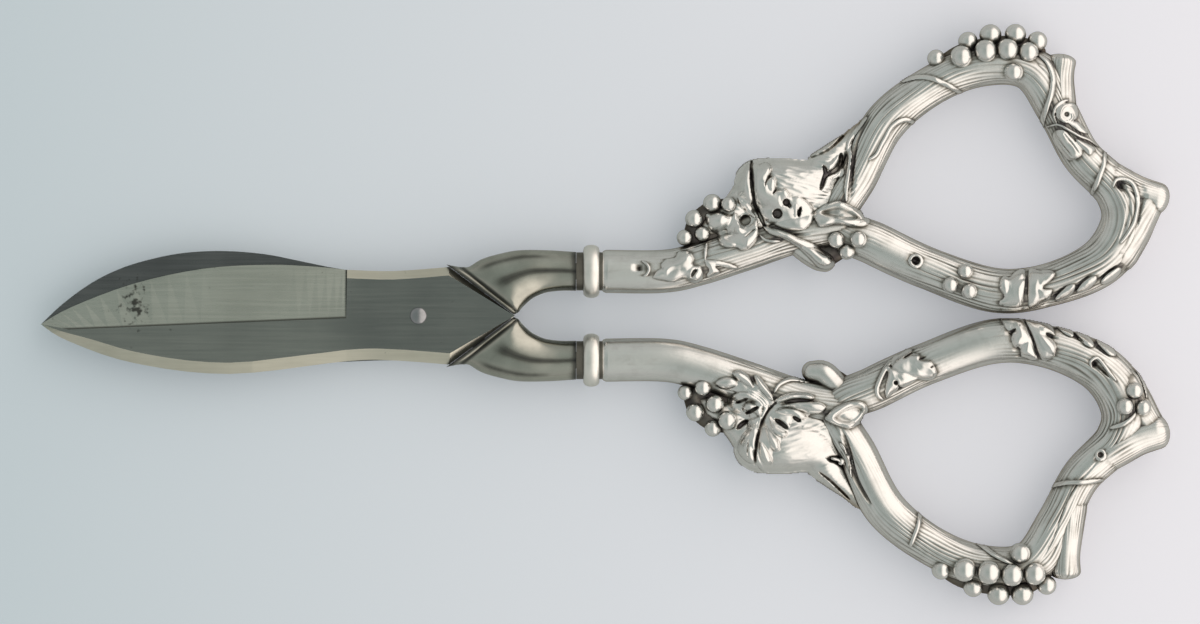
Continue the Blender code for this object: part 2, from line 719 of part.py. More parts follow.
RIM_GRAPES = ((3.45, 4.2 * MM), (3.86, 4.3 * MM), (4.28, 4.3 * MM), (4.68, 4.3 * MM), (5.04, 4.3 * MM))
FACE_GRAPES = ((3.35, 2.6 * MM), (3.74, 2.1 * MM), (4.17, 2.0 * MM), (4.57, 2.1 * MM), (4.93, 2.4 * MM), (4.75, -1.2 * MM))
FRONT_SMALL_GRAPES = (
    (14.71, 1.7 * MM),
    (14.33, 0.4 * MM),
    (14.46, 3.0 * MM),
    (12.55, -1.4 * MM),
    (12.65, 1.2 * MM),
    (12.37, 1.0 * MM),
)
BACK_SMALL_GRAPES = ((9.25, 1.9 * MM), (8.94, 0.0 * MM), (8.88, 2.6 * MM))


def relief_meshes(face, group):
    """What stands on one face of the branch, and what is scooped out of it."""
    fox, scoops = fox_meshes(face, group)
    relief = [*fox, *bunch_meshes(face)]
    relief += grapes_on_bow(RIM_GRAPES, 0, GRAPE_RADIUS)
    relief += grapes_on_bow(FACE_GRAPES, face, GRAPE_RADIUS)
    if face > 0:
        relief += grapes_on_bow(FRONT_SMALL_GRAPES, face, SMALL_GRAPE_RADIUS)
        relief += [leaf_on_bow(11.5, 0.0, face, turn=0.3)]
    else:
        relief += grapes_on_bow(BACK_SMALL_GRAPES, face, SMALL_GRAPE_RADIUS)
        relief += [leaf_on_bow(13.4, 0.0, face), leaf_on_bow(11.4, 0.2 * MM, face)]
    return relief, scoops


def cavity_meshes(group):
    """The hollow inside the struck shells, open at the neck's mouth."""
    loop = tube_mesh(
        "bow_hollow",
        bow_stations(),
        group,
        closed=True,
        resolution=CAVITY_SIDES_RESOLUTION,
        flatness=VINE_FLATNESS,
        grow=-SHELL_WALL,
    )
    line = spline(neck_stations(), per_span=NECK_STATIONS_PER_SPAN)
    line[0] = (line[0][0] - 1.0 * MM, *line[0][1:])
    neck = tube_mesh(
        "neck_hollow",
        line,
        group,
        resolution=CAVITY_SIDES_RESOLUTION,
        flatness=VINE_FLATNESS,
        grow=-SHELL_WALL,
    )
    return [loop, neck]


def shell_mesh(name, face, group):
    """One struck half of a handle: face 1 is the front and -1 the back."""
    first, *rest = bough_meshes(group)
    relief, scoops = relief_meshes(face, group)
    solid = boolean(first, "UNION", rest + relief, group, solver="MANIFOLD")
    hollow = boolean(solid, "DIFFERENCE", cavity_meshes(group) + scoops, group, solver="MANIFOLD")
    far = 2 * BOW_LENGTH
    seam = SEAM_GAP / 2
    low, high = (seam, far) if face > 0 else (-far, -seam)
    side = box_mesh("half_space", (-far, -far, low), (3 * far, far, high))
    half = boolean(hollow, "INTERSECT", [side], group, solver="MANIFOLD")
    half.name = name
    return half


# Assembly


def add_part(name, mesh, finish, parent, group, turned=False, crease_degrees=40):
    mesh.materials.clear()
    mesh.materials.append(material(finish))
    shade(mesh, crease_degrees)
    obj = mesh_object(name, mesh, group)
    obj.parent = parent
    if turned:
        obj.rotation_euler = (math.pi, 0.0, 0.0)
    return obj


def empty(name, parent, group):
    made = bpy.data.objects.new(name, None)
    group.objects.link(made)
    made.parent = parent
    return made


def settle(root, parts):
    """Puts the middle of the footprint over the origin and the lowest point at ground level."""
    bpy.context.view_layer.update()
    corners = [part.matrix_world @ Vector(corner) for part in parts for corner in part.bound_box]
    low = [min(c[axis] for c in corners) for axis in range(3)]
    high = [max(c[axis] for c in corners) for axis in range(3)]
    root.location = (-(low[0] + high[0]) / 2, -(low[1] + high[1]) / 2, -low[2])
    bpy.context.view_layer.update()


FRONT_EDGE = ((0.92, 0.17), (0.755, 0.64), (0.57, 0.94), (0.40, 1.02), (0.27, 0.98))
BACK_EDGE = ((0.92, 0.38), (0.755, 0.77), (0.57, 0.98), (0.40, 1.00), (0.27, 0.95))


def main():
    clear_scene()
    parts_group = collection("grape_shears")
    tools_group = collection("construction", hidden=True)
    root = empty("shears", None, parts_group)
    upper = empty("upper_half", root, parts_group)
    lower = empty("lower_half", root, parts_group)

    bolster = bolster_mesh(tools_group)
    collar = collar_mesh(tools_group)
    cement = core_mesh(tools_group)
    front_shell = shell_mesh("front_shell", 1, tools_group)
    back_shell = shell_mesh("back_shell", -1, tools_group)
    front_blade = blade_mesh("front_blade", FRONT_BELLY, -TIP_DROP, FRONT_EDGE, tools_group)
    back_blade = blade_mesh("back_blade", BACK_BELLY, TIP_DROP, BACK_EDGE, tools_group)

    parts = [
        add_part("front_blade", front_blade, STEEL, upper, parts_group, crease_degrees=5),
        add_part("back_blade", back_blade, STEEL, lower, parts_group, turned=True, crease_degrees=5),
        add_part("pivot_rivet", rivet_mesh(tools_group), STEEL, lower, parts_group),
        add_part("pivot_burr", burr_mesh(tools_group), STEEL, lower, parts_group),
    ]
    for side, parent, turned in (("upper", upper, False), ("lower", lower, True)):
        shells = (back_shell, front_shell) if turned else (front_shell, back_shell)
        parts += [
            add_part(f"{side}_bolster", bolster, NICKEL, parent, parts_group, turned),
            add_part(f"{side}_collar", collar, SILVER, parent, parts_group, turned),
            add_part(f"{side}_neck_cement", cement, CEMENT, parent, parts_group, turned),
            add_part(f"{side}_handle_front_shell", shells[0], SILVER, parent, parts_group, turned),
            add_part(f"{side}_handle_back_shell", shells[1], SILVER, parent, parts_group, turned),
        ]
    settle(root, parts)
    print("pivot axis at", [round(v / MM, 3) for v in upper.matrix_world.translation], "mm")


main()
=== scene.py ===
"""Grape shears with struck silver vine handles, plated bolsters and ground steel blades.

The handles' relief is drawn in plan, in millimetres from the pivot, as a die cutter draws it: x runs to
the finger bows, y away from the shears' middle line and z out of the face. Each handle is two struck
halves. One die struck both halves of the upper handle, the other both halves of the lower one.
"""

from __future__ import annotations

import json
import logging
import math
from abc import ABC, abstractmethod
from collections.abc import Callable
from dataclasses import dataclass, field
from enum import Enum

import bmesh
import bpy
import numpy as np
from mathutils import Matrix, Vector, noise
from mathutils.bvhtree import BVHTree

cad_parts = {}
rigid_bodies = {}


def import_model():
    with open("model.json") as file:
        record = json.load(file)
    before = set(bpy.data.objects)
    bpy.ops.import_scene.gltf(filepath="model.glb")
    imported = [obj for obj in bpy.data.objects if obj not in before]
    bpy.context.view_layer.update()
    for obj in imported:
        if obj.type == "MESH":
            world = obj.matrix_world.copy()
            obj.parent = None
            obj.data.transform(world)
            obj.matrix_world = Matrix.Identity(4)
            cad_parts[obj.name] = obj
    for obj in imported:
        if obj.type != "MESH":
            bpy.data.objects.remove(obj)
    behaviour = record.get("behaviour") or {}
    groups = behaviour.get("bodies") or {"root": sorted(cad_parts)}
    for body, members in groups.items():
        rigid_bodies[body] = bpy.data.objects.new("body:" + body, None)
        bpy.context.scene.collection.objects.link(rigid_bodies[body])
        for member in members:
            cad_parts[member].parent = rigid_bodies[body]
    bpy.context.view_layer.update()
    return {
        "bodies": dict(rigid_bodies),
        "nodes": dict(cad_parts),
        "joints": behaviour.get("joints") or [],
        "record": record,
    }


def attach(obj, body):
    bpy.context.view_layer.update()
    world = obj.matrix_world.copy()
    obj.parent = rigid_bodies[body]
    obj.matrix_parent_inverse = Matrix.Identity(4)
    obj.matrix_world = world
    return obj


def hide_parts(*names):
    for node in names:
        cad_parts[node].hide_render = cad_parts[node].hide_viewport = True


LOG = logging.getLogger("grape_shears")
MM = 0.001
TINY = 1e-12

Point = tuple[float, float]
Station = tuple[float, float, float]
Outline = tuple[Point, ...]
Route = tuple[Station, ...]
Socket = bpy.types.NodeSocket
Material = bpy.types.Material
Mesh = bpy.types.Mesh
Array = np.ndarray
Carving = Callable[[Array, Array, Array], tuple[Array, Array]]


class Half(Enum):
    """The two halves of the shears, by the CAD body that carries them."""

    UPPER = "upper"
    LOWER = "lower"

    @property
    def body(self) -> str:
        """Name of the CAD body."""
        return f"{self.value}_half"

    @property
    def turn(self) -> Matrix:
        """Places a shape drawn for the upper half: the lower half is half a turn about X away."""
        return Matrix.Identity(4) if self is Half.UPPER else Matrix.Rotation(math.pi, 4, "X")


# Colours and nodes


def linear(code: str) -> tuple[float, float, float, float]:
    """Turns an sRGB hex colour into linear RGBA.

    Args:
        code: Six hex digits after a hash.

    Returns:
        The linear colour with full alpha.
    """
    parts = [int(code[i : i + 2], 16) / 255 for i in (1, 3, 5)]
    red, green, blue = (c / 12.92 if c <= 0.04045 else ((c + 0.055) / 1.055) ** 2.4 for c in parts)
    return red, green, blue, 1.0


@dataclass
class Graph:
    """The nodes of a material or of the surround, while they are put together."""

    tree: bpy.types.NodeTree

    def fill(self, node: bpy.types.Node, values: dict) -> None:
        """Sets a node's properties and inputs.

        Args:
            node: The node.
            values: Property names, input names or input numbers with their values; a socket is linked.
        """
        for key, value in values.items():
            if isinstance(value, Socket):
                self.tree.links.new(value, node.inputs[key])
            elif isinstance(key, str) and hasattr(node, key):
                setattr(node, key, value)
            else:
                node.inputs[key].default_value = value

    def shade(self, values: dict) -> None:
        """Sets the inputs of the material's shader."""
        self.fill(self.tree.nodes["Principled BSDF"], values)

    def add(self, kind: str, wanted: str, values: dict | None = None) -> Socket:
        """Adds a node.

        Args:
            kind: The node's type, after the prefix that all share.
            wanted: The output to use.
            values: Properties and inputs, as for fill.

        Returns:
            The output.
        """
        node = self.tree.nodes.new(f"ShaderNode{kind}")
        self.fill(node, values or {})
        return node.outputs[wanted]

    def place(self) -> Socket:
        """The shaded point's place on its object."""
        return self.add("TexCoord", "Object")

    def axis(self, vector: Socket, name: str) -> Socket:
        """One part of a vector: X, Y or Z."""
        return self.add("SeparateXYZ", name, {0: vector})

    def math(self, operation: str, *terms: float | Socket) -> Socket:
        """A calculation with numbers and outputs."""
        return self.add("Math", "Value", {"operation": operation} | dict(enumerate(terms)))

    def ranged(self, value: Socket, given: Point, made: Point = (0.0, 1.0)) -> Socket:
        """Carries a value over from one range to another and holds it at the ends."""
        limits = zip(("From Min", "From Max", "To Min", "To Max"), (*given, *made))
        return self.add("MapRange", "Result", dict(limits) | {"Value": value})

    def noise(self, place: Socket, size: float, detail: float, roughness: float = 0.5) -> Socket:
        """Cloudy noise whose forms are about a size, in millimetres, across."""
        values = {"Scale": 1 / (size * MM), "Detail": detail, "Roughness": roughness}
        return self.add("TexNoise", "Fac", values | {"Vector": place})

    def drawn_out(self, place: Socket, times: float) -> Socket:
        """A place at which patterns come out longer along x."""
        return self.add("Mapping", "Vector", {"Scale": (1.0 / times, 1.0, 1.0), "Vector": place})

    def bump(self, height: Socket, strength: float, depth: float) -> Socket:
        """The normal over a fine relief, with its depth in millimetres."""
        return self.add("Bump", "Normal", {"Strength": strength, "Distance": depth * MM, "Height": height})

    def coat(self, ground: Socket, colour: str, share: Socket, blend: str = "MIX") -> Socket:
        """Lays a hex colour over a ground, as thick as its share."""
        values = {"data_type": "RGBA", "blend_type": blend, "B": linear(colour)}
        return self.add("Mix", "Result", values | {"Factor": share, "A": ground})

    def ramp(self, source: Socket, stops: tuple[tuple[float, str], ...]) -> Socket:
        """Adds a colour ramp.

        Args:
            source: The output to read.
            stops: Positions with hex colours.

        Returns:
            The ramp's colour.
        """
        node = self.tree.nodes.new("ShaderNodeValToRGB")
        self.fill(node, {"Fac": source})
        elements = node.color_ramp.elements
        while len(elements) < len(stops):
            elements.new(0.5)
        for element, (place, code) in zip(elements, stops):
            element.position = place
            element.color = linear(code)
        return node.outputs["Color"]


def new_material(name: str) -> tuple[Material, Graph]:
    """A new material, with its nodes."""
    made = bpy.data.materials.new(name)
    made.use_nodes = True
    return made, Graph(made.node_tree)


@dataclass(frozen=True)
class Finish:
    """A metal finish whose colour and gloss follow the grime left in its recesses; a brown band along the
    sides where the halves meet is part tarnish, part painted shade.
    """

    name: str
    recess: str
    middle: str
    worn: str
    recess_roughness: float
    worn_roughness: float
    cloud_mm: float
    cloud_depth: float
    grain_mm: float
    grain_height_mm: float
    grain_strength: float = 0.6
    streak: float = 1.0
    seam: str | None = None
    seam_mm: float = 0.9
    seam_core_mm: float = 0.2
    seam_share: float = 0.75

    def build(self, seam_height: float) -> Material:
        """Makes the material.

        Args:
            seam_height: World height of the seam between the two struck halves.

        Returns:
            The new material.
        """
        made, graph = new_material(self.name)
        place = graph.place()
        # The stored values: tarnish in recesses, and on the bolster also painted dark reflections.
        grime = graph.add("Attribute", "Fac", {"attribute_name": "patina_and_reflection"})
        cloud = graph.noise(place, self.cloud_mm, 4.0, 0.6)
        shade = graph.ranged(cloud, (0.3, 0.7), (-self.cloud_depth, self.cloud_depth))
        wear_and_reflection = graph.add("Math", "Value", {"operation": "ADD", "use_clamp": True, 0: grime, 1: shade})
        colour = graph.ramp(wear_and_reflection, ((0.0, self.recess), (0.5, self.middle), (1.0, self.worn)))
        # The brown band along the seam is part tarnish and part painted shade: it stands for contact shadow
        # and dark reflection on the steep sides.
        if self.seam:
            away = graph.math("ABSOLUTE", graph.math("SUBTRACT", graph.axis(place, "Z"), seam_height))
            reach = self.seam_core_mm * MM, self.seam_mm * MM
            share = graph.ranged(away, reach, (self.seam_share, 0.0))
            colour = graph.coat(colour, self.seam, share, "MULTIPLY")
        grain = graph.noise(graph.drawn_out(place, self.streak), self.grain_mm, 3.0)
        gloss = graph.ranged(wear_and_reflection, (0.0, 1.0), (self.recess_roughness, self.worn_roughness))
        relief = graph.bump(grain, self.grain_strength, self.grain_height_mm)
        graph.shade({"Metallic": 1.0, "Base Color": colour, "Roughness": gloss, "Normal": relief})
        return made


@dataclass(frozen=True)
class GroundSteel:
    """Carbon steel: fine marks along the blade, grey with age, with rust freckles in one patch, and on a
    bevel a dark line along its foot and a painted shadow by its square end.
    """

    name: str
    bright: str
    dull: str
    roughness: float
    # the freckles' colour, also used for the bevel's dark foot line and painted shadow
    stain_and_shadow: str = "#2E2B29"
    cloud_mm: float = 9.0
    cloud_share: float = 0.6
    mark_mm: float = 0.35
    mark_stretch: float = 40.0
    mark_strength: float = 0.2
    mark_height_mm: float = 0.003
    freckle_mm: float = 0.9
    freckle_edge: Point = (0.70, 0.84)
    freckle_share: float = 0.85
    patch: Point = (-45.3, 1.7)
    patch_mm: float = 2.5
    patch_strength: float = 0.27
    patch_edge: Point = (0.1, 1.5)
    # a dark line along the bevel's foot and a painted shadow down its square end: where, how wide and how
    # dark
    foot_line_and_end_shadow: tuple[Point, Point] | None = None
    foot_line_and_end_shadow_mm: float = 0.42
    foot_line_and_end_shadow_share: float = 0.8
    rubbed: str | None = None
    rubbed_over: Point = (-16.0, -8.0)

    def build(self, pivot: Vector) -> Material:
        """Makes the material.

        Args:
            pivot: The pivot's place, from which the stained patch is measured.

        Returns:
            The new material.
        """
        made, graph = new_material(self.name)
        place = graph.place()
        marks = graph.noise(graph.drawn_out(place, self.mark_stretch), self.mark_mm, 3.0, 0.6)
        cloud = graph.noise(place, self.cloud_mm, 3.0)
        blend = {"data_type": "FLOAT", "Factor": self.cloud_share, "A": marks, "B": cloud}
        colour = graph.ramp(graph.add("Mix", "Result", blend), ((0.38, self.dull), (0.62, self.bright)))
        if self.rubbed:
            start, end = (pivot.x + x * MM for x in self.rubbed_over)
            share = graph.ranged(graph.axis(place, "X"), (start, end))
            colour = graph.coat(colour, self.rubbed, share, "MULTIPLY")
        mask = self._freckles(graph, place, pivot)
        # A dark line along the bevel's foot and a painted shadow down its square end, in the freckles' dark
        # colour.
        if self.foot_line_and_end_shadow:
            mask = graph.math("MAXIMUM", mask, self._foot_line_and_end_shadow(graph, place, pivot))
        colour = graph.coat(colour, self.stain_and_shadow, mask)
        gloss = graph.ranged(marks, (0.0, 1.0), (self.roughness - 0.04, self.roughness + 0.08))
        relief = graph.bump(marks, self.mark_strength, self.mark_height_mm)
        graph.shade({"Metallic": 1.0, "Base Color": colour, "Roughness": gloss, "Normal": relief})
        return made

    def _foot_line_and_end_shadow(self, graph: Graph, place: Socket, pivot: Vector) -> Socket:
        """Dark marks where the grinding stopped: a dark line along the bevel's foot, and a painted shadow
        down its square end beside the plunge wall.

        Args:
            graph: The material's nodes.
            place: The shaded point's place.
            pivot: The pivot's place.

        Returns:
            The output that is above 0 on the line and in the painted shadow.
        """
        (near_x, near_y), (far_x, far_y) = self.foot_line_and_end_shadow
        slope = (far_y - near_y) / (far_x - near_x)
        start = pivot + Vector((near_x * MM, near_y * MM, 0.0))
        x, y = graph.axis(place, "X"), graph.axis(place, "Y")
        foot = graph.math("MULTIPLY_ADD", x, -slope, start.x * slope - start.y)
        facing = graph.add("NewGeometry", "True Normal")
        side = graph.math("SIGN", graph.axis(facing, "Z"))
        above = graph.math("MULTIPLY_ADD", y, side, foot)
        nearer = graph.math("MINIMUM", above, graph.math("SUBTRACT", start.x, x))
        edge = 0.4 * self.foot_line_and_end_shadow_mm * MM, self.foot_line_and_end_shadow_mm * MM
        return graph.ranged(nearer, edge, (self.foot_line_and_end_shadow_share, 0.0))

    def _freckles(self, graph: Graph, place: Socket, pivot: Vector) -> Socket:
        """Rust freckles, thick in one patch.

        Args:
            graph: The material's nodes.
            place: The shaded point's place.
            pivot: The pivot's place.

        Returns:
            The output that is above 0 on a freckle.
        """
        centre = pivot + Vector((self.patch[0] * MM, self.patch[1] * MM, 0.0))
        size = (self.patch_mm * MM, 2 * self.patch_mm * MM, 1.0)
        patch = {"vector_type": "TEXTURE", "Location": centre, "Scale": size, "Vector": place}
        moved = graph.add("Mapping", "Vector", patch)
        away = graph.add("VectorMath", "Value", {"operation": "LENGTH", 0: moved})
        inside = graph.ranged(away, self.patch_edge, (self.patch_strength, 0.0))
        spots = graph.math("ADD", graph.noise(place, self.freckle_mm, 5.0), inside)
        return graph.ranged(spots, self.freckle_edge, (0.0, self.freckle_share))


# Struck silver: bright and warm where fingers rub it, blue-black sulphide where they can't reach.
STRUCK_SILVER = Finish(
    name="struck silver",
    recess="#565254",
    middle="#9C9A93",
    worn="#EFEFEE",
    recess_roughness=0.5,
    worn_roughness=0.23,
    cloud_mm=2.6,
    cloud_depth=0.08,
    grain_mm=0.5,
    grain_height_mm=0.010,
    # brown seam band: tarnish, with painted contact shadow and dark reflection on the steep sides
    seam="#A48F6E",
    seam_mm=1.3,
)
# Burnished silver: the turned collars, scuffed to a soft sheen.
SCUFFED_SILVER = Finish(
    name="scuffed silver",
    recess="#2B2622",
    middle="#8C8A82",
    worn="#FBFAF6",
    recess_roughness=0.5,
    worn_roughness=0.36,
    cloud_mm=2.0,
    cloud_depth=0.06,
    grain_mm=0.3,
    grain_height_mm=0.008,
)
# Worn plate: silver rubbed thin over grey metal, drawn along its length.
WORN_PLATE = Finish(
    name="worn silver plate",
    recess="#2A2B2E",
    middle="#74756F",
    worn="#C0C0B7",
    recess_roughness=0.4,
    worn_roughness=0.15,
    cloud_mm=5.0,
    cloud_depth=0.12,
    grain_mm=0.3,
    grain_height_mm=0.004,
    streak=20.0,
    # brown band along the socket's sides: tarnish, with painted shade and dark reflection
    seam="#B09878",
    seam_mm=0.6,
)
# Polished steel: the rivet's head, rubbed bright.
RIVET_STEEL = Finish(
    name="polished rivet steel",
    recess="#3A3A3C",
    middle="#85868A",
    worn="#B4B6BA",
    recess_roughness=0.4,
    worn_roughness=0.2,
    cloud_mm=1.0,
    cloud_depth=0.05,
    grain_mm=0.4,
    grain_height_mm=0.003,
)
# Blade flats: steel left grey from the hardening fire and polished over, a little darker by the pivot.
FLAT_STEEL = GroundSteel("polished grey steel", "#9A9E9A", "#8F9390", 0.20, rubbed="#E4E6E8")
# Blade bevels: freshly ground steel, lighter than the flats, with a dark line along the foot and a painted
# shadow down the square end.
BEVEL_FOOT = ((-11.4, -0.4), (-56.7, -2.27))
BEVEL_STEEL = GroundSteel("ground bevel steel", "#C2C6BE", "#B5B9B1", 0.26, foot_line_and_end_shadow=BEVEL_FOOT)
# Blade chamfers: filed bright and buffed, a little warm.
CHAMFER_STEEL = GroundSteel("buffed chamfer steel", "#DCD9CB", "#CFCCBE", 0.30)
# Inner faces of the blades: a darker grey steel.
INNER_STEEL = GroundSteel("dark inner steel", "#707476", "#616567", 0.26)


# Curves and meshes


def through(points: tuple[tuple[float, ...], ...], spacing: float, closed: bool) -> Array:
    """Samples a smooth curve through points.

    Args:
        points: The points, each with as many values as it needs.
        spacing: Distance between samples, measured in the first two values.
        closed: Whether the curve returns to its start.

    Returns:
        One row of values for each sample.
    """
    given = np.array(points, float)
    count = len(given)
    rows = []
    for span in range(count if closed else count - 1):
        take = [span - 1, span, span + 1, span + 2]
        p = given[[i % count if closed else min(max(i, 0), count - 1) for i in take]]
        steps = max(2, int(np.hypot(*(p[2] - p[1])[:2]) / spacing))
        t = (np.arange(steps) / steps)[:, None]
        rows.append(
            p[0] * (-0.5 * t + t**2 - 0.5 * t**3)
            + p[1] * (1 - 2.5 * t**2 + 1.5 * t**3)
            + p[2] * (0.5 * t + 2 * t**2 - 1.5 * t**3)
            + p[3] * (-0.5 * t**2 + 0.5 * t**3)
        )
    if not closed:
        rows.append(given[-1:])
    return np.concatenate(rows)


def to_line(plan: Array, line: Array) -> tuple[Array, Array]:
    """Distance from plan points to a line.

    Args:
        plan: One row of x and y for each point.
        line: The line's points, in order.

    Returns:
        Each point's distance, and how far along the line its nearest place is, from 0 to 1.
    """
    start, reach = line[:-1], line[1:] - line[:-1]
    length = np.maximum((reach**2).sum(1), TINY)
    gap = plan[:, None, :] - start[None]
    share = np.clip((gap * reach[None]).sum(2) / length, 0, 1)
    away = ((gap - share[..., None] * reach[None]) ** 2).sum(2)
    nearest = away.argmin(1)
    rows = np.arange(len(plan))
    return np.sqrt(away[rows, nearest]), (nearest + share[rows, nearest]) / len(start)


def inside_by(plan: Array, loop: Array) -> Array:
    """How far plan points are inside a closed outline.

    Args:
        plan: One row of x and y for each point.
        loop: The outline's points, in order.

    Returns:
        The distance to the outline, negative outside it.
    """
    closed = np.concatenate([loop, loop[:1]])
    low, high = closed[:-1], closed[1:]
    x, y = plan[:, :1], plan[:, 1:]
    spans = (low[:, 1] > y) != (high[:, 1] > y)
    rise = np.where(high[:, 1] == low[:, 1], TINY, high[:, 1] - low[:, 1])
    left = x < (high[:, 0] - low[:, 0]) * (y - low[:, 1]) / rise + low[:, 0]
    within = (spans & left).sum(1) % 2 == 1
    away, _ = to_line(plan, closed)
    return np.where(within, away, -away)


def eased(value: Array) -> Array:
    """Smooth step from 0 to 1."""
    share = np.clip(value, 0.0, 1.0)
    return share * share * (3 - 2 * share)


def bell(values: Array, line: Station) -> Array:
    """How dark a soft line is, from its place, its width and its darkness."""
    place, width, darkness = line
    return darkness * np.exp(-(((values - place) / width) ** 2))


def keep_patina_and_reflection(mesh: Mesh, patina_and_reflection: Array) -> None:
    """Stores how worn each point is, from 0 in a recess to 1 in the open; on the bolster, painted dark
    reflections are stored with it.
    """
    mesh.attributes.new("patina_and_reflection", "FLOAT", "POINT").data.foreach_set("value", patina_and_reflection.astype(np.float32))


def rings_joined(rings: int, wide: int, closed: bool) -> list[list[int]]:
    """Faces between rings of points that follow one another.

    Args:
        rings: How many rings there are.
        wide: How many points a ring has.
        closed: Whether the last ring meets the first.

    Returns:
        The faces, by point.
    """
    faces = []
    for ring in range(rings if closed else rings - 1):
        here, there = ring * wide, ((ring + 1) % rings) * wide
        for side in range(wide):
            after = (side + 1) % wide
            faces.append([here + side, there + side, there + after, here + after])
    return faces


@dataclass
class Soup:
    """Points and faces of many forms, gathered into one mesh, with how deep in a cut each point lies."""

    points: list[Array] = field(default_factory=list)
    cuts: list[Array] = field(default_factory=list)
    faces: list[list[int]] = field(default_factory=list)
    count: int = 0

    def add(self, points: Array, faces: list[list[int]], cut: Array | None = None) -> None:
        """Adds one form.

        Args:
            points: Its points.
            faces: Its faces, by point.
            cut: 0 to 1 for each point, 1 at the bottom of a cut.
        """
        self.points.append(points)
        self.cuts.append(np.zeros(len(points)) if cut is None else cut)
        self.faces += [[i + self.count for i in face] for face in faces]
        self.count += len(points)

    def mesh(self, name: str) -> Mesh:
        """The gathered forms as one mesh, in millimetres."""
        made = bpy.data.meshes.new(name)
        made.from_pydata(np.concatenate(self.points).tolist(), [], self.faces)
        made.update()
        return made


# Relief that a die raises or cuts on the branch


class Feature(ABC):
    """One thing that a die raises or cuts along a plan line; heights are over the branch under it."""

    path: Outline
    spacing: float = 0.3
    closed: bool = False
    sinks: bool = False

    @property
    def line(self) -> Array:
        """The plan line, as a smooth curve."""
        return through(self.path, self.spacing, self.closed)

    @property
    def margin(self) -> float:
        """How far it reaches beyond its line."""
        return 0.3

    def reached(self, plan: Array) -> Array:
        """Numbers of the plan points that it may reach."""
        line = self.line
        low, high = line.min(0) - self.margin, line.max(0) + self.margin
        return np.flatnonzero(((plan >= low) & (plan <= high)).all(1))

    @abstractmethod
    def paint(self, plan: Array, relief: Array) -> Array:
        """Raises or cuts the relief.

        Args:
            plan: One row of x and y for each point.
            relief: The height so far.

        Returns:
            The new height.
        """


@dataclass(frozen=True)
class Plate(Feature):
    """A raised leaf or lobe with a rounded edge."""

    path: Outline
    rise: float
    dome: float
    edge: float = 0.8
    edge_power: float = 0.6
    dome_gain: float = 1.6
    dome_run: float = 1.1
    spacing = 0.25
    closed = True

    def paint(self, plan: Array, relief: Array) -> Array:
        """Raises the plate."""
        depth = inside_by(plan, self.line)
        ground = np.maximum(relief, 0.0)
        rim = np.clip(1 - (1 - np.clip(depth / self.edge, 0, 1)) ** 2, 0, 1) ** self.edge_power
        swell = 1 - np.exp(-np.maximum(depth, 0) / self.dome_run)
        top = self.rise + self.dome_gain * self.dome * swell
        return np.where(depth > 0, top * rim + ground * (1 - rim), relief)


@dataclass(frozen=True)
class Dish(Feature):
    """A hollow with a soft edge, such as the inside of an ear."""

    path: Outline
    depth: float
    edge: float = 0.85
    overlap: float = 0.05
    spacing = 0.25
    closed = True

    def paint(self, plan: Array, relief: Array) -> Array:
        """Sinks the hollow."""
        return relief - self.depth * eased(inside_by(plan, self.line) / self.edge + self.overlap)


@dataclass(frozen=True)
class Cord(Feature):
    """A raised cord, such as a tendril, thinner at its ends."""

    path: Outline
    width: float
    height: float
    thinning: float = 0.45
    bluntness: int = 4

    @property
    def margin(self) -> float:
        """How far it reaches beyond its line."""
        return self.width + 0.2

    def paint(self, plan: Array, relief: Array) -> Array:
        """Raises the cord."""
        gap, share = to_line(plan, self.line)
        taper = 1 - self.thinning * np.abs(2 * share - 1) ** self.bluntness
        round_top = np.sqrt(np.clip(1 - (gap / (self.width * taper)) ** 2, 0, 1))
        return np.where(round_top > 0, np.maximum(relief, 0.0) + self.height * taper * round_top, relief)


@dataclass(frozen=True)
class Groove(Feature):
    """A cut line."""

    path: Outline
    width: float
    depth: float
    thinning: float = 0.5
    bluntness: int = 3
    sinks = True

    @property
    def margin(self) -> float:
        """How far it reaches beyond its line."""
        return self.width + 0.2

    def paint(self, plan: Array, relief: Array) -> Array:
        """Cuts the line."""
        gap, share = to_line(plan, self.line)
        taper = 1 - self.thinning * np.abs(2 * share - 1) ** self.bluntness
        return relief - self.depth * taper * np.clip(1 - (gap / (self.width * taper)) ** 2, 0, 1) ** 2


@dataclass(frozen=True)
class Pit(Feature):
    """A round hole, as drilled at the heart of a curl; its path is its centre alone."""

    path: Outline
    radius: float
    depth: float
    lip: float = 0.18
    sinks = True

    @property
    def margin(self) -> float:
        """How far it reaches beyond its centre."""
        return self.radius + 0.3

    def paint(self, plan: Array, relief: Array) -> Array:
        """Drills the hole."""
        gap = np.hypot(*(plan - self.path[0]).T)
        return relief - self.depth * eased((self.radius + self.lip - gap) / (2 * self.lip))


def leaflet(centre: Point, heading: float, length: float, width: float) -> Plate:
    """A pointed leaflet of the rope that runs along the bow's foot.

    Args:
        centre: Its middle.
        heading: The way it points, in degrees from x.
        length: Half its length.
        width: Half its width.

    Returns:
        The plate.
    """
    way, corners = math.radians(heading), 12
    outline = []
    for step in range(corners):
        turn = 2 * math.pi * step / corners
        ahead, aside = length * math.cos(turn), width * math.sin(turn)
        x = centre[0] + ahead * math.cos(way) - aside * math.sin(way)
        y = centre[1] + ahead * math.sin(way) + aside * math.cos(way)
        outline.append((x, y))
    return Plate(tuple(outline), 0.4, 0.35, 0.4)


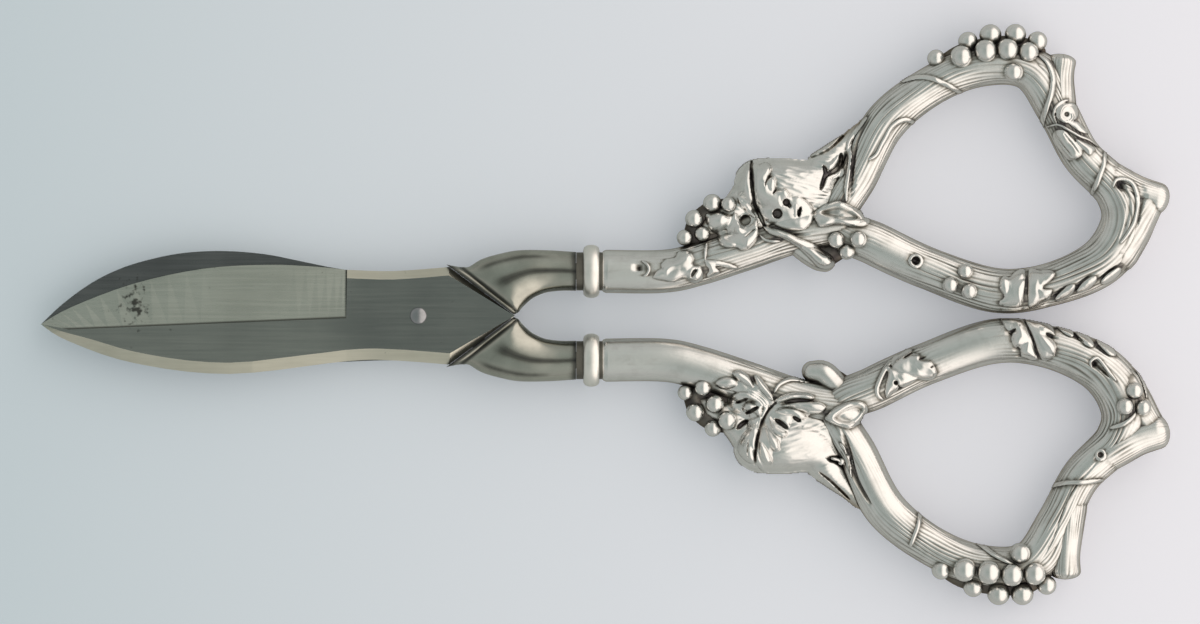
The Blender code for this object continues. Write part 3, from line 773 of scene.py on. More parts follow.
@dataclass
class Stem:
    """A half-round form swept along a route: a branch, a skull or a snout."""

    route: Route
    closed: bool = False
    flatness: float = 1.0
    spacing: float = 0.3
    sides: int = 40
    roundness: float = 1.0
    thinnest: float = 0.05
    nowhere: float = -9.0
    spine: Array = field(init=False)
    path: Array = field(init=False)
    along: Array = field(init=False)
    run: Array = field(init=False)

    def __post_init__(self) -> None:
        """Samples the route and rounds its ends."""
        path = through(self.route, self.spacing, self.closed)
        path[:, 2] = np.maximum(path[:, 2], self.thinnest)
        self.spine = path
        if not self.closed:
            path = np.concatenate([self._end(path[0], path[1])[::-1], path, self._end(path[-1], path[-2])])
        self.path = path
        ahead, behind = np.roll(path[:, :2], -1, 0), np.roll(path[:, :2], 1, 0)
        if not self.closed:
            ahead[-1], behind[0] = path[-1, :2], path[0, :2]
        along = ahead - behind
        self.along = along / np.maximum(np.linalg.norm(along, axis=1), TINY)[:, None]
        gaps = np.linalg.norm(np.diff(path[:, :2], axis=0), axis=1)
        self.run = np.concatenate([[0.0], np.cumsum(gaps)])

    def _end(self, last: Array, inner: Array) -> Array:
        """Samples that close an end, from the end outwards: half an ellipsoid, as deep as the roundness."""
        way = (last - inner)[:2]
        way = way / max(np.linalg.norm(way), TINY)
        turns = np.radians((18, 34, 48, 60, 70, 78, 84, 89))
        deep = self.roundness * last[2]
        return np.array([[*(last[:2] + way * deep * math.sin(a)), last[2] * math.cos(a)] for a in turns])

    def height(self, plan: Array) -> Array:
        """How high the form stands over plan points.

        Args:
            plan: One row of x and y for each point.

        Returns:
            The height, or a value far below the face where the form isn't.
        """
        path, batch = self.spine, 2048
        starts = path if self.closed else path[:-1]
        ends = np.roll(path, -1, 0) if self.closed else path[1:]
        reach = ends - starts
        length = np.maximum((reach[:, :2] ** 2).sum(1), TINY)
        widest = path[:, 2].max()
        low, high = path[:, :2].min(0) - widest, path[:, :2].max(0) + widest
        near = np.flatnonzero(((plan >= low) & (plan <= high)).all(1))
        found = np.full(len(plan), self.nowhere)
        for first in range(0, len(near), batch):
            rows = near[first : first + batch]
            gap = plan[rows, None, :] - starts[None, :, :2]
            t = np.clip((gap * reach[None, :, :2]).sum(2) / length, 0, 1)
            away = gap - t[..., None] * reach[None, :, :2]
            radius = starts[None, :, 2] + t * reach[None, :, 2]
            best = (radius**2 - (away**2).sum(2)).max(1)
            found[rows] = np.where(best > 0, self.flatness * np.sqrt(np.maximum(best, 0)), self.nowhere)
        return found

    def sweep(self, soup: Soup, carve: Carving | None = None, grime: float = 0.0) -> None:
        """Adds the swept form to a mesh.

        Args:
            soup: The mesh to add to.
            carve: Takes each point's run, angle and plan, and returns how deep it is cut and its grime.
            grime: The grime on a form that isn't carved, from 0 to 1.
        """
        angles = np.linspace(0, math.pi, self.sides + 1)
        out = np.stack([-self.along[:, 1], self.along[:, 0]], 1)
        radius = self.path[:, 2, None]
        cos, sin = np.cos(angles)[None], np.sin(angles)[None]
        x = self.path[:, 0, None] + out[:, 0, None] * radius * cos
        y = self.path[:, 1, None] + out[:, 1, None] * radius * cos
        z = self.flatness * radius * sin
        cut = np.full(x.size, grime)
        if carve is not None:
            run = np.repeat(self.run, len(angles))
            turn = np.tile(angles, len(self.run))
            depth, cut = carve(run, turn, np.stack([x.ravel(), y.ravel()], 1))
            depth = np.minimum(depth.reshape(x.shape), 0.6 * radius)
            x = x - depth * cos * out[:, 0, None]
            y = y - depth * cos * out[:, 1, None]
            z = z - depth * sin
        points = np.stack([x, y, z], 2).reshape(-1, 3)
        rings, wide = len(self.run), len(angles)
        faces = rings_joined(rings, wide, self.closed)
        if not self.closed:
            faces.append(list(range(wide)))
            faces.append(list(range((rings - 1) * wide, rings * wide))[::-1])
        soup.add(points, faces, cut)


@dataclass(frozen=True)
class Relief:
    """What one die raises on the branch, in plan millimetres; a station's third value is a radius."""

    features: tuple[Feature, ...]
    grapes: Route
    rim_grapes: Route
    shoot: Route
    rubbed: Route
    bark_from: float


HOODED = Relief(
    features=(
        # the vine leaf that hoods the head
        Groove(((53.3, 24.7), (53.1, 22.5), (53.3, 20.1), (53.7, 18.2), (54.5, 16.2),
            (55.6, 13.8)), 0.45, 0.9),
        Plate(((52.9, 24.4), (53, 22.5), (53.2, 20.1), (53.5, 18.5), (53, 17.5), (52.1, 18.2),
            (51.3, 18.8), (51, 19.8), (51.4, 21), (51.8, 22.5), (52.4, 23.8)), 0.3, 0.3),
        Plate(((53.6, 24.6), (54.5, 24.2), (55.4, 24.5), (56.2, 24.1), (56.4, 23.2), (56, 22.2),
            (56.8, 22.2), (57.2, 21.2), (57.1, 20.1), (57.8, 20.2), (58.6, 20.2), (59.4, 19.4),
            (59.6, 19), (60.9, 19), (62.2, 18.3), (63, 17.4), (63.3, 16.2), (63, 15), (61.8, 13.8),
            (60.2, 13.5), (58.3, 13.8), (56.7, 14.5), (55.4, 15.3), (54.6, 16.6), (53.9, 18.2),
            (53.6, 20.1), (53.5, 22.5)), 0.45, 0.5),
        Plate(((54.1, 23.4), (54.6, 24.1), (55.4, 24.4), (56.2, 24), (56.3, 23.2), (55.8, 22.2),
            (55.4, 21.4), (54.6, 21.2), (54.1, 22)), 0.75, 0.4),
        Plate(((55.6, 21.2), (56.2, 22.1), (56.9, 22.1), (57.2, 21.2), (57, 20.1), (56.6, 19.7),
            (55.8, 20.1)), 0.75, 0.4),
        Plate(((57.9, 19.9), (58.6, 20.2), (59.3, 19.4), (59, 18.8), (58.5, 18.5), (58.2, 17.5),
            (57.7, 18.2), (57.7, 19.3)), 0.8, 0.2),
        Groove(((55.4, 20.7), (55.6, 21.5), (56.2, 22.3)), 0.2, 0.4),
        Groove(((56.6, 19.4), (57.1, 20.1)), 0.2, 0.4),
        Pit(((57.4, 16.3),), 0.7, 1.05),
        Pit(((58.8, 18.1),), 0.5, 0.95),
        Pit(((59.3, 17.6),), 0.28, 0.6),
        Cord(((60.3, 17.6), (60.3, 16.7), (60.3, 15.9)), 0.24, 0.3),
        Groove(((61.1, 17.3), (60.9, 16.6), (60.8, 15.9)), 0.32, 0.8),
        Groove(((55.9, 14.2), (57.8, 13.6), (59.6, 13.1), (61.8, 12.8)), 0.3, 0.5),
        # the eye, its lids and the line of the mouth
        Groove(((64.8, 23.9), (65.1, 22.8), (64.8, 21.7), (64.3, 20.2)), 0.5, 0.9),
        Groove(((65, 22.3), (66, 22.9), (67, 23.6), (67.5, 24.6), (67.6, 25.8)), 0.62, 1),
        Plate(((65.7, 21.9), (66.6, 22.3), (67.8, 23.7), (68.1, 23.4), (68, 22.5), (67.6, 22.1),
            (66.3, 21.8)), 0.3, 0.2),
        Plate(((65.1, 24.2), (66, 24.7), (67.1, 25.7), (67.3, 25.1), (66.6, 23.8), (65.8, 23.3),
            (65.4, 23.4)), 0.3, 0.2),
        Groove(((62.8, 25.3), (64.6, 26), (66.2, 27), (68, 28.8), (69.7, 30.8)), 0.34, 0.55),
        # the stem that runs up the branch beside the head
        Cord(((68.4, 18.4), (68.4, 20.6), (68.7, 22.9), (69, 25.2), (68.8, 26.9), (69.4, 28.7),
            (70.8, 30.6), (71.6, 31.6)), 0.42, 0.5),
        Groove(((69.3, 18.9), (69.3, 22.6), (69.8, 26.9), (70.6, 29.1), (72, 31.4)), 0.38, 0.7),
        # the shoot that leaves from under the leaf
        Plate(((55.1, 14.3), (56.5, 14.2), (58.9, 13.5), (61.2, 12.4), (63.5, 11.4), (65.5, 10.1),
            (66.6, 8.6), (66.2, 7.7), (65.1, 7.4), (63.8, 7.8), (62.3, 9.3), (60.6, 10.9), (58.3, 12.2),
            (56, 13)), 0.55, 0.5),
        # the ear
        Plate(((63.1, 16.2), (64.2, 17.3), (65.8, 18.1), (67.3, 18.4), (68.7, 17.9), (70.5, 17),
            (71.9, 15.8), (72.2, 15), (71.4, 14.3), (69.8, 14.1), (68.2, 14.4), (66.6, 14.6), (65, 14.2),
            (63.9, 14.3)), 0.95, 0.1),
        Dish(((64, 16.5), (65.4, 17.3), (67, 17.6), (68.6, 17.2), (70.5, 16.1), (71, 15.4), (69.8, 15.1),
            (68.2, 15.1), (66.6, 15.4), (65, 15.8)), 1),
        # the small leaf behind the head
        Plate(((51, 19.1), (51.9, 18.6), (52.8, 18.6), (53.3, 17.7), (53.7, 16.3), (54, 15.5),
            (53.3, 15.9), (52.1, 16.8), (51.3, 17.9)), 0.45, 0.2),
        Plate(((45.8, 16), (46.6, 16.6), (48.2, 16.7), (49.3, 16.2), (50.1, 16), (50.5, 16.5), (51, 16.2),
            (51.3, 15.5), (51.7, 14.6), (52.5, 14.3), (53.3, 14.7), (54, 15.5), (54.3, 14.7),
            (54.5, 13.3), (54.2, 12.2), (53.5, 11.2), (52.6, 10.5), (51.6, 10.4), (50.8, 10.9),
            (49.6, 10.8), (48.4, 11.2), (47.7, 12.3), (47.8, 12.9), (46.8, 13.7),
            (46.1, 14.7)), 0.5, 0.3),
        Plate(((46.1, 15.9), (46.8, 16.4), (48.2, 16.5), (49.3, 16), (50, 15.2), (49.8, 14.3),
            (48.9, 13.6), (47.8, 13.5), (46.9, 14.1), (46.3, 14.9)), 0.7, 0.5),
        Plate(((47.9, 12.4), (48.4, 13.1), (49.3, 13.2), (49.8, 12.4), (50.8, 11.5), (50.5, 11.1),
            (49.6, 11), (48.6, 11.4)), 0.65, 0.4),
        Plate(((50.3, 14.3), (51.3, 14.4), (52.1, 13.8), (53.3, 14), (54.2, 14.4), (54.4, 13.1),
            (53.7, 11.9), (52.7, 10.9), (51.9, 11.2), (51.2, 12.3), (50.3, 13.1)), 0.75, 0.5),
        Groove(((52.1, 12.5), (53.3, 13.5), (54.2, 14.1)), 0.16, 0.25),
        Pit(((52.3, 15.3),), 0.75, 1),
        Cord(((54.6, 12.9), (55.3, 12.2), (56.5, 11.9), (57.8, 11.9)), 0.28, 0.4),
        # the spray on the neck
        Pit(((35.2, 7.7),), 0.5, 0.8),
        Cord(((35.7, 8.8), (36.6, 8.2), (36.9, 7.4), (36.5, 6.6), (35.9, 6.3)), 0.28, 0.35),
        Plate(((37.4, 6), (38.1, 7.2), (38.8, 7.6), (38.7, 8.2), (39.6, 9.1), (41, 9.4), (41.5, 10.3),
            (42.6, 10.5), (43.6, 10.1), (44.2, 9.2), (44, 8.2), (45.1, 8), (45.6, 7), (45.4, 5.8),
            (44.4, 5.2), (43.3, 5.4), (42.4, 5.9), (40.7, 5.3), (39.2, 5.6)), 0.35, 0.25),
        Plate(((39, 7.4), (40, 8.6), (41.4, 9), (42.6, 10.1), (43.6, 9.7), (43.8, 8.5), (42.6, 7.6),
            (41, 7.2), (39.6, 6.4)), 0.6, 0.3),
        Plate(((42.8, 6.9), (43.8, 7.9), (45, 7.7), (45.5, 6.9), (45.2, 6), (44.4, 5.4),
            (43.4, 5.9)), 0.6, 0.25),
        Groove(((43.7, 6.2), (44.1, 7), (44.5, 7.3)), 0.42, 0.7),
        Cord(((46.1, 11.7), (45.9, 10.5), (45.8, 9.1)), 0.28, 0.4),
        Plate(((45.7, 8.9), (46.6, 9), (48.2, 8.8), (49.8, 8.4), (51.2, 7.7), (50.3, 7.4), (47.6, 7.9),
            (48.2, 7.2), (48, 6.7), (46.4, 6), (46, 6.5), (46.4, 7.3), (45.9, 8)), 0.35, 0.2),
        # tendrils on the outer limb
        Cord(((77.4, 37.5), (79.4, 38.1), (81.8, 38), (84.6, 36.8), (87, 35.5)), 0.45, 0.42),
        Cord(((72, 25), (73.2, 25.7), (74.4, 27.9), (75.9, 30.4), (78.1, 31.3),
            (80.2, 30.1)), 0.42, 0.42),
        Cord(((99.2, 41.7), (100.6, 40.5), (101.4, 38.3), (101.2, 35.7), (100.4, 33.3), (99.8, 31.3),
            (99.8, 29.5)), 0.5, 0.5),
        # the curl and the bud at the corner
        Plate(((101.8, 32.5), (102.2, 33.5), (103.1, 34.1), (104.4, 34), (105.3, 33.4), (105.6, 32.5),
            (105.2, 31.5), (104.1, 30.8), (102.9, 30.8), (102, 31.5)), 0.3, 0.15),
        Cord(((104, 34.5), (102.8, 34.2), (101.8, 33.3), (101.5, 32), (102, 30.7)), 0.25, 0.3),
        Cord(((105.2, 33), (105.2, 33.5), (104.4, 33.9), (103.3, 33.6), (102.7, 32.8), (102.6, 31.7),
            (103.2, 31), (104.1, 31.1), (104.6, 31.7), (104.4, 32.3)), 0.24, 0.28),
        Pit(((103.6, 32.2),), 0.3, 0.5),
        Plate(((103.5, 31.1), (105.2, 31.1), (106.3, 30.3), (107.3, 29.1), (105.8, 29.3),
            (104.3, 30.3)), 0.3, 0.2),
        Plate(((101.4, 29.1), (102.2, 29.8), (103.3, 29.7), (104.6, 28.4), (106.2, 26.4), (105.7, 25.3),
            (104, 24.8), (102.8, 26), (101.6, 27.7)), 0.25, 0.4),
        Plate(((104.9, 28.3), (106.5, 27.8), (108.2, 26.8), (107.3, 25.6), (106, 26.7)), 0.4, 0.2),
        Groove(((101.9, 28.7), (103.1, 27.1), (104.6, 25.3)), 0.15, 0.25),
        Groove(((103.1, 29.1), (104.3, 27.7), (105.7, 25.8)), 0.15, 0.25),
        Cord(((100.5, 30.2), (102.2, 30.5), (103.7, 29.8), (105.7, 28.7), (107.3, 28.1),
            (108.7, 27.1)), 0.25, 0.35),
        Cord(((109.8, 26.1), (109.5, 24.1), (108.6, 21.7), (107.6, 19.3)), 0.45, 0.45),
        Pit(((112.2, 20.9),), 0.62, 0.9),
        Cord(((111, 20.7), (111.5, 21.7), (112.6, 21.9), (114, 21.3), (114.8, 19.7), (115, 17.3),
            (114.4, 14.9), (113.2, 12.9), (112.2, 11.7)), 0.42, 0.42),
        Groove(((112.4, 20.3), (113.4, 19.3), (113.6, 17.3), (113, 14.5), (112.2, 12.5)), 0.34, 0.3),
        Groove(((115.4, 21.3), (115.8, 19.3), (115.2, 16.5), (114.8, 13.9)), 0.3, 0.3),
        Plate(((79.5, 10.1), (80.4, 9.7), (80.8, 8.8), (80.4, 7.9), (79.5, 7.5), (78.6, 7.9), (78.2, 8.8),
            (78.6, 9.7)), 0.3, 0.05),
        Pit(((79.5, 8.8),), 0.6, 0.9),
        # the leaf and the rope on the inner limb
        Plate(((97, 7.3), (95.4, 7.1), (94.5, 6.2), (93.7, 6.5), (92.9, 5.8), (92.8, 4.4), (93.5, 3),
            (92.8, 2.4), (92.9, 1.6), (94.6, 1.3), (96.4, 1.5), (96.9, 3.3)), 0.4, 0.25),
        Plate(((93, 5.7), (93.7, 6.3), (94.3, 5.5), (94.5, 4.2), (93.8, 3.3), (93.2, 4.2)), 0.6, 0.2),
        Plate(((94.8, 4.9), (95.9, 5.7), (97, 5.7), (96.8, 3.6), (96.2, 2), (95.1, 3)), 0.65, 0.2),
        Plate(((97.5, 7.3), (99.3, 7.3), (100.9, 7.4), (101.7, 7), (101.7, 6.3), (100.4, 5), (99.9, 4.4),
            (101.2, 4.2), (101.4, 3.6), (100.8, 2.6), (99.6, 2), (98.3, 1.3), (97.4, 1.6)), 0.4, 0.25),
        Plate(((99, 6.2), (100.2, 7.1), (101.5, 7), (101.6, 6.3), (100.4, 5.1), (99.3, 4.9)), 0.65, 0.2),
        Plate(((99, 4.2), (100.2, 4.3), (101.3, 4.2), (101.3, 3.5), (100.4, 2.6),
            (99.3, 2.6)), 0.65, 0.2),
        Groove(((97.4, 7.8), (97.2, 4.9), (97, 2)), 0.15, 0.3),
        leaflet((103.4, 3.7), 37, 2.1, 0.85),
        leaflet((106.8, 5), 37, 2.1, 0.85),
        leaflet((110.7, 6.4), 37, 2.1, 0.85),
        Groove(((100.1, 1.5), (101.7, 3.1), (103.4, 4.7)), 0.26, 0.45),
        Groove(((104.9, 3.9), (106, 5.4), (107.6, 6.6)), 0.26, 0.45),
        Groove(((108.9, 5.7), (110.3, 7), (111.8, 7.9)), 0.26, 0.45),
    ),
    grapes=(
        (47.0, 18.0, 1.5), (49.6, 17.8, 1.2), (44.1, 15.5, 1.45), (42.6, 12.5, 1.3), (45.4, 13.1, 1.3),
        (66.8, 12.1, 1.35), (70.3, 12.2, 1.35), (68.5, 10.3, 1.35), (87.4, 7.1, 1.25), (85.0, 4.9, 1.3),
        (88.0, 3.9, 1.3), (82.8, 41.2, 1.4), (86.8, 41.4, 1.8), (90.7, 42.3, 1.85), (94.2, 42.5, 1.8),
        (97.5, 42.1, 1.65), (95.1, 38.9, 1.55),
    ),
    rim_grapes=((87.9, 43.9, 1.55), (91.5, 44.9, 1.75), (95.5, 45.0, 1.7), (99.0, 43.9, 1.6)),
    shoot=((58.8, 12.6, 1.5), (61.6, 10.5, 1.75), (63.8, 9.1, 1.8), (65.0, 8.7, 1.7)),
    rubbed=((117.6, 18.8, 3.5), (76.5, 9.6, 4.5)),
    bark_from=36.0,
)
LEAFED = Relief(
    features=(
        # the vine leaf that hoods the head: its left half
        Plate(((47.4, 10.9), (48.5, 9.9), (50.1, 9.7), (50.1, 9.1), (51.2, 8.6), (52.7, 9.3),
            (53.5, 10.5), (53.5, 9.5), (54.4, 9.5), (55.6, 11), (56.9, 13), (56.9, 13.9), (55.7, 15.4),
            (54.8, 17.6), (54.2, 20.1), (53.9, 23.5), (52.4, 23.3), (51.2, 21.9), (51, 20.1),
            (52.1, 18.6), (52.8, 17.4), (52.4, 17), (53, 16.1), (51.7, 14.9), (51.9, 14.3), (51, 13.8),
            (49.9, 13.1), (50.8, 12.3), (49, 11.8), (47.8, 11.4)), 0.12, 0.1),
        Plate(((47.4, 10.7), (48.5, 9.9), (50.1, 9.8), (50.9, 10.4), (50.7, 11.3), (49, 11.8),
            (47.8, 11.4)), 0.8, 0.3),
        Plate(((50.1, 9.2), (51.2, 8.6), (52.6, 9.3), (53.5, 10.6), (53.4, 11.5), (52.1, 10.9),
            (50.8, 10.1)), 0.85, 0.3),
        Plate(((53.5, 9.6), (54.4, 9.5), (55.6, 11), (56.8, 12.8), (56.6, 13.7), (55.5, 12.8),
            (54.2, 11.3)), 0.85, 0.3),
        Plate(((49.9, 13.1), (50.8, 12.3), (52.8, 12.2), (54.6, 13.2), (55.5, 14.4), (54.6, 14.7),
            (53.3, 13.8), (51.4, 13.8)), 0.8, 0.3),
        Plate(((51.7, 14.7), (52.5, 13.8), (53.9, 14), (55, 14.7), (54.6, 16.1), (53.7, 15.6), (53, 15.4),
            (52.1, 15.3)), 0.8, 0.25),
        Plate(((52.6, 17), (53.7, 16.3), (54.8, 16.1), (54.6, 17.6), (54, 19.7), (53.8, 21.5),
            (52.8, 20.6), (52.8, 18.6)), 0.75, 0.3),
        Plate(((51.1, 20.6), (52.1, 18.8), (53.3, 17.9), (53.7, 19.2), (53.6, 21.5), (53.7, 23.5),
            (52.4, 23.2), (51.2, 21.9)), 0.65, 0.4),
        Groove(((50.8, 13.9), (52.6, 13.3)), 0.32, 0.8),
        Groove(((52.4, 15.6), (53.4, 15.1), (54.3, 14.6)), 0.4, 1),
        Groove(((51, 18), (51.8, 17.3), (52.6, 16.8)), 0.5, 0.9),
        Groove(((52.8, 19.7), (52.6, 21.5), (52.8, 23.1)), 0.16, 0.3),
        Cord(((52.8, 12), (54.8, 13.2), (55.6, 14.5), (55, 16.3), (54.3, 18.6)), 0.4, 0.3),
        # its right half
        Plate(((57, 14.1), (60.3, 13.7), (63.7, 13.6), (65.3, 14.5), (64.7, 15.5), (62.8, 15.8),
            (62, 16.4), (60.7, 16.6), (59.8, 16.3), (59.1, 18.2), (58.9, 19), (57.8, 19.5), (57.7, 21.4),
            (56.6, 21.5), (56.5, 23.5), (55.7, 25.3), (54.6, 24.2), (54, 22.6), (54.2, 20.4),
            (54.8, 17.9), (55.7, 15.7)), 0.25, 0.15),
        Plate(((57, 13.2), (59.1, 12.3), (62.1, 12.2), (63.4, 13), (62.8, 13.5), (60.3, 13.4),
            (57.4, 14)), 0.8, 0.3),
        Plate(((57.6, 14.5), (60.3, 13.7), (63.7, 13.7), (65.2, 14.5), (64.6, 15.5), (62.8, 15.7),
            (61.4, 15.3), (59.6, 14.7)), 0.9, 0.3),
        Plate(((56.9, 15.2), (59.1, 14.7), (61.4, 15.4), (62, 16.2), (60.9, 16.5), (59.8, 16),
            (58.2, 15.8)), 0.85, 0.25),
        Plate(((56, 16.1), (56.9, 17), (57.6, 17.9), (58.9, 18.6), (58.7, 19.2), (57.7, 19.3),
            (56.6, 18.3)), 0.85, 0.3),
        Plate(((55.5, 17.6), (56.6, 18.8), (57.7, 20.2), (57.7, 21.4), (56.7, 21.5),
            (55.9, 19.9)), 0.85, 0.3),
        Plate(((54.6, 20.1), (55.7, 21.3), (56.5, 23.3), (55.7, 23.8), (54.6, 22.6)), 0.85, 0.3),
        Plate(((54, 21.5), (54.8, 23.3), (55.9, 25.2), (55.1, 24.9), (54, 23.5)), 0.5, 0.2),
        Groove(((57, 14), (55.6, 15.6), (54.6, 17.9), (54, 20.4), (53.8, 23.8)), 0.22, 0.5),
        Groove(((57.1, 16.6), (58, 17.2), (59, 18)), 0.5, 1),
        Groove(((60, 16.2), (61, 16.8)), 0.36, 0.9),
        # the tendril over the leaf
        Cord(((56.9, 12.2), (57.8, 10.9), (59.8, 10.1), (62.5, 10.5)), 0.38, 0.55),
        # the ear
        Plate(((64.8, 16.3), (66.1, 14.9), (68.2, 13.8), (70.4, 13.6), (71.7, 14.3), (71.8, 15.6),
            (70.7, 17.2), (68.9, 18.1), (67.1, 17.7), (65.5, 17)), 0.95, 0.1),
        Dish(((66.3, 16), (67.8, 14.8), (70, 14.1), (71.3, 14.7), (70.9, 16.1), (69.3, 17.4),
            (67.7, 17.4), (66.4, 16.8)), 1),
        # the eye, the jaw and the hollow beside the head
        Dish(((64.9, 22.5), (67.1, 22.1), (67.7, 21.3), (68.3, 22.4), (68.6, 23.9), (68.2, 24.9),
            (66.8, 23.9), (65.5, 23.4)), 0.8),
        Cord(((66, 22.8), (67.1, 23), (68.1, 23.8)), 0.3, 0.7),
        Cord(((67.4, 20.4), (68.6, 22), (69.2, 23.9), (69.2, 25.7)), 0.35, 0.4),
        Groove(((64.1, 25), (65.8, 26.3), (67.4, 27.8), (69, 29.4)), 0.32, 0.6),
        Groove(((68, 18.8), (68.7, 21.5), (69.2, 23.8), (69.8, 26), (70.9, 28.1),
            (72.1, 29.9)), 0.62, 0.8),
        # the spray on the inner limb
        Plate(((75.5, 8), (75.8, 6.6), (77, 6), (78.2, 5.3), (79, 5.4), (79, 5.9), (80, 6.1), (80.2, 6.6),
            (80.6, 7.1), (81.7, 7.2), (82.3, 7.7), (82.8, 8.6), (82.9, 9.4), (82.3, 10.2), (81.2, 10.4),
            (80, 10.3), (78.8, 9.8), (77, 9.2)), 0.45, 0.25),
        Plate(((79.2, 7.4), (80, 7.1), (81.7, 7.2), (82.3, 7.7), (82.8, 8.7), (82.9, 9.4), (81.4, 9.4),
            (80, 8.9)), 0.65, 0.25),
        Groove(((77.5, 6.8), (78.2, 6.4), (79.1, 5.8)), 0.24, 0.6),
        Groove(((80, 7), (80.6, 6.7), (81.2, 6.4)), 0.22, 0.5),
        Groove(((81.8, 8.3), (82.4, 8)), 0.18, 0.4),
        Plate(((75.1, 8), (76.6, 8.8), (77.6, 9), (79.1, 9.6), (79.9, 10), (79, 10.8), (77.8, 11.4),
            (77, 11.5), (76.6, 12), (75.8, 12.5), (74.9, 13.3), (74.5, 12.5), (74.6, 11),
            (74.9, 9.6)), 0.45, 0.25),
        Plate(((76.7, 9.4), (77.6, 9.3), (79.1, 9.8), (79.7, 10.1), (78.7, 10.8), (77.5, 10.9),
            (76.8, 10.2)), 0.65, 0.2),
        Pit(((76.3, 10.7),), 0.28, 0.7),
        Groove(((76.5, 11), (76.9, 11.4), (76.4, 12.3)), 0.18, 0.45),
        Groove(((76.9, 11.4), (77.7, 11.6)), 0.14, 0.35),
        Cord(((75.4, 7.2), (74.6, 8.5), (73.8, 10.1), (73.3, 11.5), (73.4, 12.7),
            (74.2, 13.4)), 0.45, 0.5),
        # the leaf and the rope on the inner limb
        Plate(((93.2, 0.4), (94.5, 0.2), (95.9, 0.4), (96.6, 0.6), (97.2, 1.5), (97.8, 2.8), (98.3, 4.2),
            (98.7, 5.7), (99, 7), (97.8, 7.1), (97, 6.7), (96.2, 6.5), (96, 5.2), (95.1, 5), (94.6, 3.6),
            (94.7, 2.6), (95.3, 2.2), (94.3, 2.5), (93.6, 1.7)), 0.4, 0.25),
        Plate(((94.6, 2.3), (95.4, 0.9), (96.4, 1), (97.2, 2.2), (97.6, 3.6), (96.9, 4.4), (95.6, 4.8),
            (95, 3.6), (95.4, 2.5)), 0.65, 0.4),
        Plate(((96.1, 5.5), (96.9, 4.4), (97.7, 4.1), (98.3, 5.4), (98.6, 6.6), (97.5, 6.8),
            (96.4, 6.5)), 0.65, 0.35),
        Groove(((94.6, 3.4), (94.8, 2.6), (95.4, 2.1)), 0.26, 0.7),
        Groove(((95.8, 5), (96, 5.8), (96.2, 6.6)), 0.24, 0.6),
        Plate(((97, 0.4), (98.6, 0.3), (99.9, 0.7), (101, 1.4), (101.8, 2.6), (101.7, 3.2), (100.6, 3),
            (101.4, 3.8), (102, 4.9), (101.8, 6.3), (101, 7), (99.9, 7.2), (99.1, 6.2), (98.3, 4.1),
            (97.4, 1.8)), 0.4, 0.25),
        Plate(((98.5, 0.6), (99.9, 1), (101.2, 1.8), (101.7, 2.6), (101.4, 3), (100.2, 2.7),
            (99.3, 2.2)), 0.7, 0.35),
        Plate(((99.1, 3), (100.2, 3.2), (101.2, 4.1), (101.8, 5), (101.7, 6.1), (100.7, 5.9),
            (99.6, 4.6)), 0.7, 0.4),
        Groove(((96.6, 0.4), (97.4, 2), (98.2, 3.8), (98.7, 5.5), (99.3, 7.1)), 0.15, 0.35),
        Groove(((100.4, 2.8), (101.1, 3.3), (101.7, 3.5)), 0.26, 0.7),
        Groove(((99.5, 0.5), (100.7, 0.8), (101.5, 1.5), (102, 2.5)), 0.28, 0.6),
        leaflet((103.3, 2), 41, 2, 0.75),
        leaflet((106.5, 3.7), 41, 2, 0.75),
        leaflet((110, 5.1), 41, 2, 0.75),
        Groove(((104.3, 1.8), (105, 3), (106.3, 4.2)), 0.28, 0.6),
        Groove(((107.6, 3.3), (108.4, 4.6), (110, 6.2)), 0.28, 0.6),
        Pit(((108, 7.7),), 0.5, 0.8),
        Cord(((107.5, 8.2), (107.4, 7.3), (108.4, 6.7), (109.4, 7.7), (110.6, 9.3),
            (111.4, 10.3)), 0.32, 0.32),
        Groove(((108.4, 7.9), (109.2, 8.7), (110.2, 9.7)), 0.26, 0.6),
        Cord(((112.8, 6.5), (115, 8.9), (116.2, 11.5), (116.4, 13.1)), 0.25, 0.3),
        Cord(((110.6, 17.9), (112.6, 17.3), (114, 16.3), (114.6, 15.5)), 0.42, 0.4),
        Plate(((110.1, 22.2), (109.8, 23), (109, 23.3), (108.3, 23), (108, 22.2), (108.3, 21.5),
            (109, 21.2), (109.8, 21.5)), 0.2, 0.1),
        Pit(((109, 22.2),), 0.42, 0.6),
        Groove(((108.4, 23.3), (107, 25.1), (105.4, 26.7), (103.8, 29.5), (102.6, 32.3), (101.4, 35.9),
            (99.8, 38.7)), 0.16, 0.26),
        # tendrils on the outer limb
        Cord(((100.7, 27.4), (103.4, 26.7), (106.6, 26.6), (109.4, 26.3)), 0.42, 0.42),
        Cord(((80.2, 31.1), (80, 33.1), (79.2, 35.3), (78.6, 36.9)), 0.42, 0.42),
        Cord(((87.4, 34.9), (89.8, 36.5), (92.2, 38.3), (94.6, 39.5), (95.8, 40.1)), 0.42, 0.42),
    ),
    grapes=(
        (42.7, 12.3, 1.25), (45.5, 11.5, 1.35), (44.3, 15.4, 1.5), (47.4, 14.1, 1.5), (47.1, 18.0, 1.35),
        (49.4, 16.7, 1.5), (67.6, 23.3, 0.6), (114.4, 12.0, 1.4), (112.9, 14.5, 1.4), (115.8, 14.7, 1.3),
        (83.6, 40.7, 1.5), (87.3, 40.6, 1.9), (91.2, 41.0, 1.95), (94.9, 41.4, 1.85), (98.5, 41.2, 1.85),
        (96.2, 38.0, 1.65),
    ),
    rim_grapes=((88.75, 43.4, 1.6), (92.8, 44.5, 1.8), (96.6, 44.5, 1.8), (100.5, 43.1, 1.55)),
